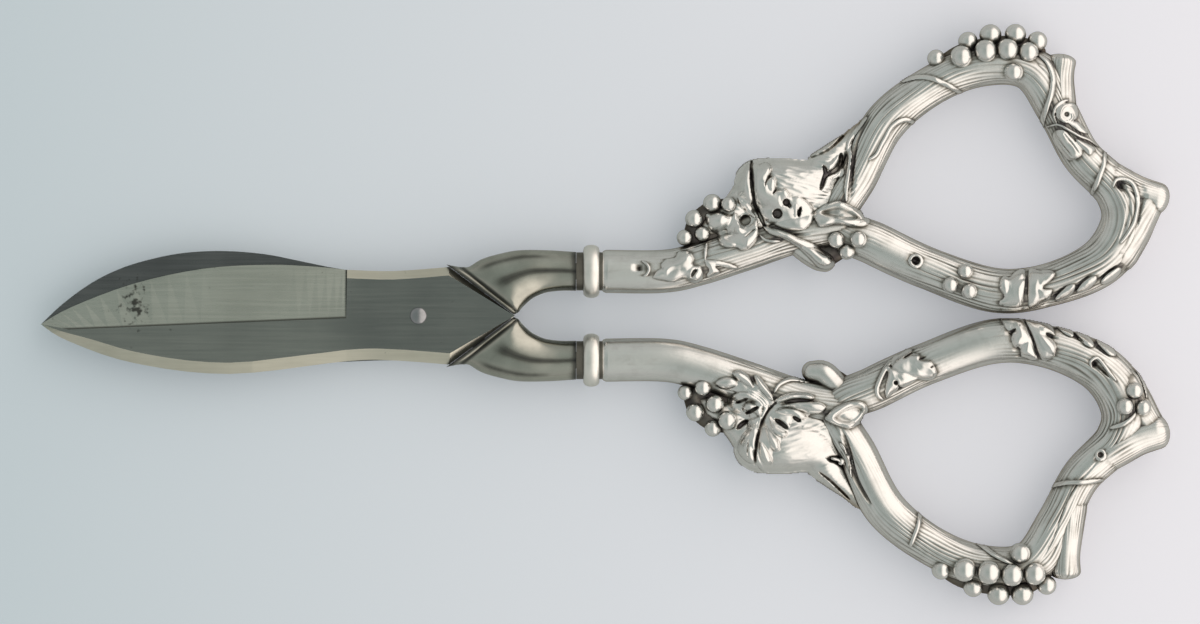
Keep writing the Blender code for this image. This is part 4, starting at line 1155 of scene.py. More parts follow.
    shoot=((63.0, 8.9, 1.7), (64.8, 9.2, 2.0), (66.8, 11.0, 1.9), (68.8, 13.1, 1.5), (69.9, 14.4, 1.0)),
    rubbed=(
        (86.0, 5.0, 9.0), (75.6, 27.0, 9.0), (116.0, 18.2, 5.0), (105.6, 37.0, 3.5), (72.0, 20.0, 5.0),
        (108.6, 23.0, 3.0),
    ),
    bark_from=47.0,
)

# the lower handle's own pruned stub and knob
LEAFED_STUB: Route = (
    (104.4, 26.0, 2.2), (104.3, 29.6, 2.75), (103.9, 33.6, 2.62), (103.5, 38.0, 2.4), (103.4, 40.9, 2.6),
)
LEAFED_KNOB: Route = ((107.2, 23.8, 2.9), (111.6, 21.0, 3.3), (115.0, 19.4, 3.05), (118.2, 18.5, 2.85))
LEAFED_FLARE: Route = ((112.2, 11.6, 3.9), (114.4, 14.6, 3.5), (116.2, 16.9, 2.9), (117.2, 18.2, 2.6))


@dataclass
class VineHandle:
    """One struck half of a vine-branch handle."""

    name: str
    relief: Relief
    seed: float
    flatness: float = 0.90
    head_flatness: float = 0.95
    stub_flatness: float = 0.95
    shoot_flatness: float = 1.2
    bed_flatness: float = 0.6
    limb_radius: float = 3.4
    bark_pitch: float = 0.66
    bark_width: float = 0.12
    bark_depth: float = 0.16
    bark_sway: float = 0.8
    bark_sway_mm: float = 9.0
    bark_break_mm: float = 7.0
    bark_fade_mm: float = 9.0
    bark_least: float = 0.06
    polish_mm: float = 11.0
    polish_least: float = 0.12
    rubbed_share: float = 0.85
    fur_heading: float = -12.0
    fur_pitch: float = 0.55
    fur_depth: float = 0.13
    ripple_pitch: float = 1.9
    ripple_depth: float = 0.24
    field_from: Point = (33.0, -0.6)
    field_to: Point = (121.0, 46.0)
    field_step: float = 0.12
    field_floor: float = -0.5
    deepest_cut: float = -1.3
    base_inset: float = 0.7
    base_radius: float = 0.2
    bed_grime: float = 0.7
    shown_from: float = 0.35
    shown_over: float = 0.5
    laid_from: float = -0.3
    field_foot: float = 0.02
    field_least: float = 0.05
    grape_level: float = 0.9
    grape_lift: float = 0.15
    grape_rings: int = 13
    grape_sides: int = 22
    groove_grime: float = 1.2
    pit_grime: float = 1.1
    sunk_range: Point = (0.06, 0.36)
    grime_reach: float = 2.2
    grime_rays: int = 12
    grime_range: Point = (0.40, 0.90)
    cut_share: float = 0.9
    skin: float = 0.03
    loop: Route = (
        (66.6, 14.9, 3.2), (70.3, 22.5, 3.3), (74.7, 30.9, 3.4), (81.9, 36.7, 3.2), (89.8, 39.9, 3.3),
        (97.5, 39.4, 3.3), (102.1, 32.9, 3.2), (106.0, 25.7, 3.2), (111.6, 19.9, 3.5), (113.0, 14.5, 4.0),
        (109.3, 8.7, 3.9), (101.4, 5.1, 3.5), (92.4, 4.05, 3.6), (81.7, 7.5, 3.4), (73.1, 11.45, 3.5),
    )
    neck: Route = (
        (30.0, 7.1, 3.45), (39.1, 7.1, 3.45), (44.6, 8.2, 3.45), (52.7, 10.8, 3.45), (60.0, 13.3, 3.45),
        (68.0, 14.9, 3.4),
    )
    corner: Route = ((96.0, 40.2, 2.9), (99.6, 39.2, 3.0), (101.6, 36.4, 2.8), (102.8, 32.4, 2.7))
    corner_stub: Route = ((102.8, 30.8, 2.8), (102.6, 34.5, 2.6), (102.6, 38.2, 2.3), (102.8, 40.7, 2.45))
    end_knob: Route = ((107.2, 23.8, 2.9), (111.6, 21.1, 3.1), (115.0, 19.7, 2.75), (118.3, 18.7, 2.6))
    knob_flare: Route = ((111.6, 10.6, 3.9), (113.7, 14.0, 3.75), (115.5, 16.7, 3.2), (117.0, 18.9, 2.7))
    skull: Route = ((54.6, 20.9, 4.2), (58.2, 20.7, 4.6), (62.4, 21.0, 4.0), (65.8, 23.2, 2.7))
    snout: Route = (
        (64.9, 23.4, 3.1), (66.9, 26.0, 2.0), (68.8, 28.0, 1.35), (70.7, 30.1, 0.9), (72.8, 32.2, 0.5),
    )
    mane: Route = ((46.5, 14.3, 1.7), (50.0, 16.8, 2.1), (52.6, 19.4, 2.7), (54.4, 21.4, 3.5))
    cheek: Route = ((51.8, 14.0, 2.5), (56.8, 16.0, 2.8), (62.0, 17.0, 2.7), (67.0, 19.0, 2.4))
    neck_bed: Route = (
        (50.5, 13.8, 1.2), (47.5, 12.9, 1.5), (44.2, 12.6, 1.6), (44.8, 14.9, 1.7), (47.0, 16.7, 1.7),
        (49.6, 17.4, 1.4),
    )
    shoot_bed: Route = ((64.2, 10.4, 1.6), (65.2, 9.8, 1.9), (66.8, 10.4, 1.7), (68.6, 11.1, 1.3))
    bunch_bed: Route = (
        (84.0, 40.9, 0.9), (87.5, 42.2, 1.5), (93.5, 43.2, 1.6), (98.0, 42.7, 1.5), (99.4, 42.2, 1.0),
    )

    def strike(self) -> Mesh:
        """Builds the half, in plan millimetres, with its grime worked out.

        Returns:
            The mesh, whose patina attribute runs from 0 in a recess to 1 in the open.
        """
        soup = Soup()
        branch = [
            Stem(self.loop, True, self.flatness, spacing=0.55, sides=92),
            Stem(self.neck, False, self.flatness, spacing=0.6, sides=80, roundness=0.4),
            Stem(self.corner, False, self.flatness, spacing=0.5, sides=72),
            Stem(self.corner_stub, False, self.stub_flatness, spacing=0.4, sides=56, roundness=0.5),
            Stem(self.knob_flare, False, self.flatness, spacing=0.4, sides=64),
            Stem(self.end_knob, False, self.stub_flatness, spacing=0.4, sides=72, roundness=0.7),
            Stem(self.relief.shoot, False, self.shoot_flatness, spacing=0.4, sides=32),
        ]
        ground = self.bunch_bed, self.neck_bed, self.shoot_bed
        beds = [Stem(route, False, self.bed_flatness, spacing=0.6, sides=16) for route in ground]
        forms = self.skull, self.snout, self.mane, self.cheek
        head = [Stem(route, False, self.head_flatness, spacing=0.3, sides=60) for route in forms]
        for form in branch[:-1]:
            form.sweep(soup, self._bark)
        branch[-1].sweep(soup)
        for form in beds:
            form.sweep(soup, grime=self.bed_grime)
        for route in forms:
            inset = tuple((x, y, max(r - self.base_inset, self.base_radius)) for x, y, r in route)
            Stem(inset, False, self.head_flatness, spacing=0.8, sides=24).sweep(soup)
        self._lay_field(soup, branch, head, beds[1])
        for x, y, radius in self.relief.grapes:
            level = max(0.0, *(float(form.height(np.array([[x, y]]))[0]) for form in branch + head))
            self._grape(soup, (x, y, max(level + self.grape_lift * radius, self.grape_level)), radius)
        for x, y, radius in self.relief.rim_grapes:
            self._grape(soup, (x, y, self.grape_level), radius)
        mesh = soup.mesh(f"{self.name}_half")
        self._grime(mesh, np.concatenate(soup.cuts))
        return mesh

    def _bark(self, run: Array, turn: Array, plan: Array) -> tuple[Array, Array]:
        """Bark lines along the branch, fading on the polished neck, with the die's cuts.

        Args:
            run: Distance along the branch.
            turn: Angle round it.
            plan: One row of x and y for each point.

        Returns:
            How deep each point is cut, and its grime from 0 to 1.
        """
        lines = np.empty(len(run))
        across = turn * self.limb_radius / self.bark_pitch
        for i, (x, y) in enumerate(plan):
            wave = noise.noise(Vector((across[i] * 0.3, run[i] / self.bark_sway_mm, self.seed)))
            place = across[i] + self.bark_sway * wave
            number = round(place)
            gap = (place - number) * self.bark_pitch / self.bark_width
            broken = noise.noise(Vector((number * 3.7, run[i] / self.bark_break_mm, self.seed + 5)))
            smooth = noise.noise(Vector((x / self.polish_mm, y / self.polish_mm, self.seed + 9)))
            strength = min(max(0.55 + 1.1 * broken, 0.0), 1.0)
            strength *= min(max(0.75 + 0.8 * smooth, self.polish_least), 1.0)
            lines[i] = strength * math.exp(-gap * gap)
        fade = (plan[:, 0] - self.relief.bark_from) / self.bark_fade_mm
        lines *= np.clip(fade, self.bark_least, 1.0)
        for x, y, reach in self.relief.rubbed:
            away = np.hypot(plan[:, 0] - x, plan[:, 1] - y)
            lines *= 1 - self.rubbed_share * eased(1.6 * (1 - away / reach))
        hollow = np.zeros(len(plan))
        for feature in self.relief.features:
            if feature.sinks:
                rows = feature.reached(plan)
                hollow[rows] = np.minimum(hollow[rows], feature.paint(plan[rows], np.zeros(len(rows))))
        grime = np.clip(np.maximum(lines, -self.groove_grime * hollow), 0, 1)
        return self.bark_depth * lines - hollow, grime

    @staticmethod
    def _softened(grid: Array) -> Array:
        """Smooths the head's heights where the head is, without drawing its edge out.

        Args:
            grid: Heights by x and y, negative where the head isn't.

        Returns:
            The smoothed heights.
        """
        there = grid > 0
        for _ in range(3):
            total, share = np.zeros_like(grid), np.zeros_like(grid)
            for along in range(-2, 3):
                for across in range(-2, 3):
                    near = np.roll(there, (along, across), (0, 1))
                    total += np.where(near, np.roll(grid, (along, across), (0, 1)), 0.0)
                    share += near
            grid = np.where(there, total / np.maximum(share, 1), grid)
        return grid

    def _fur(self, plan: Array) -> Array:
        """Short strokes of fur over the head."""
        way = math.radians(self.fur_heading)
        ahead = (plan[:, 0] * math.cos(way) + plan[:, 1] * math.sin(way)) / (6 * self.fur_pitch)
        aside = (-plan[:, 0] * math.sin(way) + plan[:, 1] * math.cos(way)) / self.fur_pitch
        strokes = [-abs(noise.noise(Vector((a, b, self.seed)))) for a, b in zip(ahead, aside)]
        return self.fur_depth * 2.0 * np.array(strokes)

    def _raised(self, spots: Array, furred: Array, floor: Array) -> Array:
        """Heights of fur and features over the ground.

        Args:
            spots: One row of x and y for each point.
            furred: Where the head lies bare.
            floor: Height of the ground.

        Returns:
            The heights over the ground.
        """
        relief = np.where(furred, self._fur(spots), self.field_floor)
        for feature in self.relief.features:
            near = feature.reached(spots)
            relief[near] = feature.paint(spots[near], relief[near])
        ripple = [noise.noise(Vector((*spot / self.ripple_pitch, self.seed + 13))) for spot in spots]
        relief += np.where(relief > 0, self.ripple_depth * np.array(ripple), 0.0)
        shown = eased((floor - self.shown_from) / self.shown_over)
        return np.maximum(relief * shown + self.field_floor * (1 - shown), self.deepest_cut)

    def _drilled(self, spots: Array) -> Array:
        """How deep the pits alone are."""
        drilled = np.zeros(len(spots))
        for feature in self.relief.features:
            if isinstance(feature, Pit):
                near = feature.reached(spots)
                drilled[near] = np.maximum(drilled[near], -feature.paint(spots[near], np.zeros(len(near))))
        return drilled

    def _sunk(self, grid: Array) -> Array:
        """How far each point lies below those around it, as grime from 0 to 1."""
        around, count = grid.copy(), 1
        for shift in range(1, 4):
            for axis in (0, 1):
                around += np.roll(grid, shift, axis) + np.roll(grid, -shift, axis)
                count += 2
        low, high = self.sunk_range
        return np.clip((around / count - grid - low) / (high - low), 0, 1)

    def _lay_field(self, soup: Soup, branch: list[Stem], head: list[Stem], bed: Stem) -> None:
        """Adds the head's modelled face and everything raised on the branch, as one fine field of heights.

        Args:
            soup: The mesh to add to.
            branch: The branch's stems.
            head: The head's stems.
            bed: The low ground between the neck and the head.
        """
        xs, ys = (np.arange(a, b, self.field_step) for a, b in zip(self.field_from, self.field_to))
        shape = wide, deep = len(xs), len(ys)
        plan = np.stack(np.meshgrid(xs, ys, indexing="ij"), 2).reshape(-1, 2)
        skulls = np.max([form.height(plan) for form in head], axis=0)
        skulls = self._softened(skulls.reshape(shape)).ravel()
        wanted = skulls > 0
        for feature in self.relief.features:
            wanted[feature.reached(plan)] = True
        rows = np.flatnonzero(wanted)
        spots, skull = plan[rows], skulls[rows]
        wood = np.max([form.height(spots) for form in branch + [bed]], axis=0)
        floor = np.maximum(wood, skull)
        relief = self._raised(spots, (skull > wood - 0.05) & (skull > 0), floor)

        grid = np.full(len(plan), self.field_floor)
        grid[rows] = relief
        hollow = self._sunk(grid.reshape(shape)).ravel()
        hollow[rows] = np.maximum(hollow[rows], np.clip(self.pit_grime * self._drilled(spots), 0, 1))
        height = np.zeros(len(plan))
        height[rows] = np.maximum(floor, 0) + relief
        keep = ((grid > self.laid_from) | (hollow > 0) & (skulls > 0.5)).reshape(shape)
        usable = wanted.reshape(shape)
        corners = [(0, 0), (1, 0), (1, 1), (0, 1)]
        cells = np.ones((wide - 1, deep - 1), bool)
        some = np.zeros((wide - 1, deep - 1), bool)
        for i, j in corners:
            cells &= usable[i : wide - 1 + i, j : deep - 1 + j]
            some |= keep[i : wide - 1 + i, j : deep - 1 + j]
        first = np.argwhere(cells & some)
        quads = np.stack([(first[:, 0] + i) * deep + first[:, 1] + j for i, j in corners], 1)
        used, faces = np.unique(quads, return_inverse=True)
        points = np.column_stack([plan[used], np.maximum(height[used], self.field_least)])
        LOG.info("%s: %d field cells", self.name, len(quads))
        self._close_field(soup, points, faces.reshape(-1, 4), hollow[used])

    def _close_field(self, soup: Soup, points: Array, faces: Array, cut: Array) -> None:
        """Closes the field underneath, at the seam, and adds it.

        Args:
            soup: The mesh to add to.
            points: The field's points.
            faces: Its cells.
            cut: Its grime.
        """
        work = bpy.data.meshes.new("field")
        work.from_pydata(points.tolist(), [], faces.tolist())
        bm = bmesh.new()
        bm.from_mesh(work)
        bpy.data.meshes.remove(work)
        rim = [edge for edge in bm.edges if edge.is_boundary]
        grown = bmesh.ops.extrude_edge_only(bm, edges=rim)["geom"]
        for vert in grown:
            if isinstance(vert, bmesh.types.BMVert):
                vert.co.z = self.field_foot
        foot = [edge for edge in grown if isinstance(edge, bmesh.types.BMEdge) and edge.is_boundary]
        bmesh.ops.holes_fill(bm, edges=foot, sides=0)
        bm.verts.index_update()
        closed = np.array([vert.co for vert in bm.verts])
        cells = [[vert.index for vert in face.verts] for face in bm.faces]
        bm.free()
        soup.add(closed, cells, np.concatenate([cut, np.zeros(len(closed) - len(cut))]))

    def _grape(self, soup: Soup, centre: Station, radius: float) -> None:
        """Adds one grape, its lower part cut off at the seam.

        Args:
            soup: The mesh to add to.
            centre: Its middle.
            radius: Its radius.
        """
        rings, wide = self.grape_rings, self.grape_sides
        x, y, z = centre
        lowest = -1.45 if z > radius else -math.asin(min(0.99, z / radius))
        points = []
        for level in np.linspace(lowest, math.pi / 2, rings)[:-1]:
            for step in range(wide):
                turn = 2 * math.pi * step / wide
                reach = radius * math.cos(level)
                height = max(z + radius * math.sin(level), 0.0)
                points.append((x + reach * math.cos(turn), y + reach * math.sin(turn), height))
        points.append((x, y, z + radius))
        faces = [[a, d, c, b] for a, b, c, d in rings_joined(rings - 1, wide, False)]
        last = (rings - 2) * wide
        faces += [[last + step, last + (step + 1) % wide, len(points) - 1] for step in range(wide)]
        faces.append(list(range(wide))[::-1])
        soup.add(np.array(points), faces)

    def _grime(self, mesh: Mesh, cut: Array) -> None:
        """Works out how open each point is and stores it as the patina attribute.

        Args:
            mesh: The half, in millimetres.
            cut: How deep in a cut each point lies, from 0 to 1.
        """
        bm = bmesh.new()
        bm.from_mesh(mesh)
        bmesh.ops.recalc_face_normals(bm, faces=bm.faces)
        bm.to_mesh(mesh)
        tree = BVHTree.FromBMesh(bm)
        bm.free()
        count, reach = self.grime_rays, self.grime_reach
        rays = []
        for number in range(count):
            up, turn = math.sqrt((number + 0.5) / count), number * math.pi * (3 - math.sqrt(5))
            flat = math.sqrt(1 - up * up)
            rays.append(Vector((flat * math.cos(turn), flat * math.sin(turn), up)))
        openness = np.ones(len(mesh.vertices))
        for vertex in mesh.vertices:
            if vertex.normal.z < -0.3:
                continue
            start = vertex.co + vertex.normal * self.skin
            tilt = vertex.normal.to_track_quat("Z", "Y")
            shut = 0.0
            for ray in rays:
                distance = tree.ray_cast(start, tilt @ ray, reach)[3]
                if distance is not None:
                    shut += 1.0 - distance / reach
            openness[vertex.index] = 1.0 - shut / count
        ends = np.empty(len(mesh.edges) * 2, np.int32)
        mesh.edges.foreach_get("vertices", ends)
        first, second = ends[0::2], ends[1::2]
        size = len(openness)
        meetings = np.maximum(np.bincount(ends, minlength=size), 1)
        for _ in range(2):
            near = np.bincount(first, openness[second], size) + np.bincount(second, openness[first], size)
            openness = 0.5 * openness + 0.5 * near / meetings
        low, high = self.grime_range
        worn = np.clip((openness - low) / (high - low), 0.0, 1.0)
        keep_patina_and_reflection(mesh, worn * (1.0 - self.cut_share * cut))


@dataclass
class Bolster:
    """The plated socket between a blade's mitre and the collar."""

    sides: int = 96
    reflections_from: float = 7.6
    upper_reflection_to: float = 22.0
    open_wear: float = 0.95
    # painted dark reflections along the socket, on its top ridge and its sides: place across it, width and
    # darkness
    crest_reflection: Station = (0.0, 0.11, 0.72)
    upper_reflection: Station = (0.66, 0.10, 0.45)
    lower_reflection: Station = (-0.93, 0.10, 0.4)
    # dark lines round it: place along it, width and darkness
    lip: Station = (4.45, 1.2, 0.9)
    quirk: Station = (6.8, 0.45, 0.8)
    end: Station = (25.2, 0.8, 0.8)
    # upper outline, lower outline, half depth and squareness of each section, from the mitre to the collar
    sections: tuple[tuple[float, ...], ...] = (
        (4.45, 8.20, 15.25, 0.20, 2.44, 5.0),
        (6.0, 7.90, 15.75, 0.42, 2.44, 5.0),
        (6.7, 7.80, 16.00, 0.56, 2.10, 4.2),
        (7.3, 7.80, 16.20, 0.80, 2.30, 3.6),
        (8.1, 7.85, 16.5, 1.20, 2.62, 2.9),
        (10.0, 9.0, 17.3, 2.00, 2.88, 2.5),
        (12.6, 9.82, 18.4, 2.88, 2.94, 2.3),
        (16.1, 10.48, 20.3, 3.68, 2.90, 2.2),
        (20.7, 10.48, 22.7, 4.00, 2.80, 2.1),
        (25.2, 10.20, 25.2, 4.00, 2.80, 2.0),
    )

    def build(self) -> Mesh:
        """Lofts the socket.

        Returns:
            The mesh, in plan millimetres.
        """
        rows = through(self.sections, 0.3, False)
        turn = np.linspace(0, 2 * math.pi, self.sides, endpoint=False)
        points = []
        for ux, uy, lx, ly, depth, square in rows:
            across, forward = (np.sign(v) * np.abs(v) ** (2 / square) for v in (np.cos(turn), np.sin(turn)))
            x, y = (ux + lx) / 2 + across * (ux - lx) / 2, (uy + ly) / 2 + across * (uy - ly) / 2
            points.append(np.stack([x, y, depth * forward], 1))
        faces = [[a, d, c, b] for a, b, c, d in rings_joined(len(rows), self.sides, False)]
        faces.append(list(range(self.sides)))
        faces.append(list(range((len(rows) - 1) * self.sides, len(rows) * self.sides))[::-1])
        soup = Soup()
        soup.add(np.concatenate(points), faces)
        mesh = soup.mesh("bolster")
        keep_patina_and_reflection(mesh, self._wear_and_reflections(rows, turn))
        return mesh

    def _wear_and_reflections(self, rows: Array, turn: Array) -> Array:
        """Patina round each section: painted dark reflections along the top ridge and the sides, and dark
        ends.

        Args:
            rows: The sections.
            turn: The angles round a section.

        Returns:
            The value of each point, from 0 to 1, lowered along the painted dark reflection lines and at the
            dark ends.
        """
        start = rows[:, :1]
        # Painted dark reflections: lines along the top ridge and the sides stand for the dark room mirrored
        # in the polished socket.
        along = eased((start - self.reflections_from) / 3.0)
        upper = along * eased((self.upper_reflection_to - start) / 4.0)
        side = np.cos(turn)[None]
        wear_and_reflection = self.open_wear - along * (bell(side, self.crest_reflection) + bell(side, self.lower_reflection))
        wear_and_reflection = wear_and_reflection - upper * bell(side, self.upper_reflection)
        ends = (1 - bell(start, self.quirk) - bell(start, self.end)) * (1 - bell(start, self.lip))
        return np.clip(wear_and_reflection * ends, 0.0, 1.0).ravel()


@dataclass
class Collar:
    """The turned bead at the end of the neck."""

    start: float = 25.25
    level: float = 7.1
    flatness: float = 0.90
    groove_radius: float = 3.05
    bead_radius: float = 4.25
    groove: float = 1.1
    bead: float = 2.6
    bead_steps: int = 24
    bead_power: float = 0.6
    groove_wear: float = 0.32
    bright_share: float = 1.6
    length: float = 4.2
    steps: int = 72

    def build(self) -> Mesh:
        """Spins the bead's profile round the neck.

        Returns:
            The mesh, in plan millimetres.
        """
        low, rise = self.groove_radius, self.bead_radius - self.groove_radius
        profile = [(0.0, 0.0), (0.0, low), (self.groove, low)]
        half = self.bead / 2
        for step in range(1, self.bead_steps):
            angle = math.pi * step / self.bead_steps
            x = self.groove + half - half * math.cos(angle)
            profile.append((x, low + rise * math.sin(angle) ** self.bead_power))
        profile += [(self.groove + self.bead, low), (self.length, low), (self.length, 0.0)]
        edges = [(i, i + 1) for i in range(len(profile) - 1)]
        mesh = bpy.data.meshes.new("collar")
        mesh.from_pydata([(x, y, 0.0) for x, y in profile], edges, [])
        bpy.ops.object.select_all(action="DESELECT")
        obj = bpy.data.objects.new("collar", mesh)
        bpy.context.scene.collection.objects.link(obj)
        bpy.context.view_layer.objects.active = obj
        obj.select_set(True)
        bpy.ops.object.mode_set(mode="EDIT")
        bpy.ops.mesh.select_all(action="SELECT")
        bpy.ops.mesh.spin(steps=self.steps, angle=2 * math.pi, center=(0, 0, 0), axis=(1, 0, 0))
        bpy.ops.mesh.select_all(action="SELECT")
        bpy.ops.mesh.remove_doubles(threshold=0.001)
        bpy.ops.mesh.normals_make_consistent(inside=False)
        bpy.ops.object.mode_set(mode="OBJECT")
        radius = np.array([math.hypot(vertex.co.y, vertex.co.z) for vertex in mesh.vertices])
        bright = eased((radius - low) / rise * self.bright_share)
        keep_patina_and_reflection(mesh, self.groove_wear + (1 - self.groove_wear) * bright)
        moved = Matrix.Translation((self.start, self.level, 0.0))
        mesh.transform(moved @ Matrix.Diagonal((1, 1, self.flatness, 1)))
        bpy.data.objects.remove(obj, do_unlink=True)
        return mesh


@dataclass
class Shears:
    """The whole object: it dresses the CAD frame's nodes and adds the struck pieces."""

    frame: dict
    bevel_tilt: float = 2.0
    bevel_end: float = -11.3
    table_gap: float = 0.05
    # outer edge of the back blade from the tip, fuller than its solid behind the tip
    spine: Outline = (
        (-60.4, -1.35), (-56.7, 2.1), (-52.0, 5.45), (-47.3, 7.7), (-42.6, 9.1), (-38.0, 10.0),
        (-33.2, 10.35), (-28.6, 10.25), (-23.9, 9.75), (-19.2, 8.8), (-14.5, 7.8),
    )
    tip_level: float = -1.3
    pivot: Vector = field(init=False)

    def __post_init__(self) -> None:
        """Reads the pivot's place from the frame."""
        self.pivot = Vector(self.frame["joints"][0]["pos_m"])

    def place(self, mesh: Mesh, turn: Matrix) -> Mesh:
        """A copy of a plan mesh in world metres.

        Args:
            mesh: The mesh, in plan millimetres.
            turn: The turn or mirroring that brings it to its half.

        Returns:
            The placed copy, with its faces outwards.
        """
        made = mesh.copy()
        made.transform(Matrix.Translation(self.pivot) @ turn @ Matrix.Scale(MM, 4))
        if turn.determinant() < 0:
            made.flip_normals()
        return made

    def merged(self, name: str) -> Mesh:
        """A copy of a CAD node's mesh with its facets joined up.

        Args:
            name: The node.

        Returns:
            The copy.
        """
        mesh = self.frame["nodes"][name].data.copy()
        bm = bmesh.new()
        bm.from_mesh(mesh)
        bmesh.ops.remove_doubles(bm, verts=bm.verts, dist=0.002 * MM)
        bmesh.ops.dissolve_limit(bm, angle_limit=math.radians(0.5), verts=bm.verts, edges=bm.edges)
        bm.to_mesh(mesh)
        bm.free()
        return mesh

    def add(
        self, name: str, mesh: Mesh, finishes: tuple[Material, ...], half: Half, crease: float, slot: str
    ) -> bpy.types.Object:
        """Adds a piece that stands for the CAD node of the same name.

        Args:
            name: The CAD node.
            mesh: The placed mesh.
            finishes: Its materials.
            half: The half of the shears that carries it.
            crease: Angle in degrees above which an edge stays sharp.
            slot: Not used.

        Returns:
            The new object.
        """
        mesh.materials.clear()
        for finish in finishes:
            mesh.materials.append(finish)
        mesh.shade_smooth()
        mesh.set_sharp_from_angle(angle=math.radians(crease))
        obj = bpy.data.objects.new(f"{name}_finished", mesh)
        bpy.context.scene.collection.objects.link(obj)
        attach(obj, half.body)
        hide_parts(name)
        LOG.info("%s: %d faces", obj.name, len(mesh.polygons))
        return obj

    def round_spine(self, mesh: Mesh) -> None:
        """Draws the back blade's outer edge as a full curve, a little outside its solid near the tip.

        Args:
            mesh: The blade, in world metres.
        """
        bm = bmesh.new()
        bm.from_mesh(mesh)
        bm.normal_update()
        limit = self.pivot.x + self.bevel_end * MM
        rim = [
            edge
            for edge in bm.edges
            if max(vert.co.x for vert in edge.verts) < limit
            and any(face.normal.z > 0.9 for face in edge.link_faces)
            and any(abs(face.normal.z) < 0.5 and face.normal.y > 0.3 for face in edge.link_faces)
        ]
        corners = sorted({(vert.co.x, vert.co.y) for edge in rim for vert in edge.verts})
        solid = (np.array(corners) - self.pivot.xy) / MM
        bmesh.ops.subdivide_edges(bm, edges=rim, cuts=5)
        drawn = through(self.spine, 0.4, False)
        for vert in bm.verts:
            x, y = (vert.co.xy - self.pivot.xy) / MM
            edge = float(np.interp(x, solid[:, 0], solid[:, 1]))
            if x < self.spine[-1][0] and y > self.tip_level and edge > self.tip_level:
                share = min(1.0, (y - self.tip_level) / (edge - self.tip_level))
                vert.co.y += share * (float(np.interp(x, drawn[:, 0], drawn[:, 1])) - edge) * MM
        LOG.info("back blade: outer edge of %d corners rounded", len(solid))
        bm.to_mesh(mesh)
        bm.free()

    def handles(self) -> None:
        """Strikes both dies and sets each struck half on its handle."""
        silver = STRUCK_SILVER.build(self.pivot.z)
        hooded = VineHandle("hooded", HOODED, 2.0).strike()
        leafed = VineHandle(
            "leafed",
            LEAFED,
            9.0,
            fur_depth=0.07,
            corner_stub=LEAFED_STUB,
            end_knob=LEAFED_KNOB,
            knob_flare=LEAFED_FLARE,
        ).strike()
        for half, mesh, turn in (
            (Half.UPPER, hooded, Matrix.Identity(4)),
            (Half.LOWER, leafed, Matrix.Diagonal((1, -1, 1, 1))),
        ):
            for side, struck in (("front", turn), ("back", turn @ self.turned_over(mesh))):
                name = f"{half.value}_handle_{side}_shell"
                self.add(name, self.place(mesh, struck), (silver,), half, 60, "struck_silver")

    def turned_over(self, mesh: Mesh) -> Matrix:
        """Mirrors a struck half to the back, pressed a little flatter so that the shears lie on the table.

        Args:
            mesh: The half, in plan millimetres.

        Returns:
            The mirroring.
        """
        tallest = max(vertex.co.z for vertex in mesh.vertices)
        return Matrix.Diagonal((1, 1, -min(1.0, (self.pivot.z / MM - self.table_gap) / tallest), 1))

    def fittings(self) -> None:
        """Makes the bolsters and collars."""
        plate, silver = WORN_PLATE.build(self.pivot.z), SCUFFED_SILVER.build(self.pivot.z)
        for kind, mesh, finish, slot in (
            ("bolster", Bolster().build(), plate, "plated_bolster"),
            ("collar", Collar().build(), silver, "struck_silver"),
        ):
            for half in Half:
                self.add(f"{half.value}_{kind}", self.place(mesh, half.turn), (finish,), half, 35, slot)

    def blades(self) -> None:
        """Dresses both blades, the rivet and its burr."""
        kinds = FLAT_STEEL, BEVEL_STEEL, CHAMFER_STEEL, INNER_STEEL
        steels = tuple(steel.build(self.pivot) for steel in kinds)
        flat, bevel, chamfer, inner = range(len(kinds))
        for name, half, inward in (("front_blade", Half.UPPER, -1), ("back_blade", Half.LOWER, 1)):
            mesh = self.merged(name)
            if name == "back_blade":
                self.round_spine(mesh)
            obj = self.add(name, mesh, steels, half, 5, "blade_steel")
            for face in obj.data.polygons:
                tilt = math.degrees(math.acos(min(1.0, abs(face.normal.z))))
                if tilt <= self.bevel_tilt:
                    face.material_index = inner if face.normal.z * inward > 0 else flat
                else:
                    ahead = (face.center.x - self.pivot.x) / MM < self.bevel_end
                    face.material_index = bevel if ahead and face.normal.y * face.normal.z > 0 else chamfer
        rivet = RIVET_STEEL.build(self.pivot.z)
        for name in ("pivot_rivet", "pivot_burr"):
            mesh = self.merged(name)
            keep_patina_and_reflection(mesh, np.full(len(mesh.vertices), 0.8))
            self.add(name, mesh, (rivet,), Half.LOWER, 35, "rivet_steel")


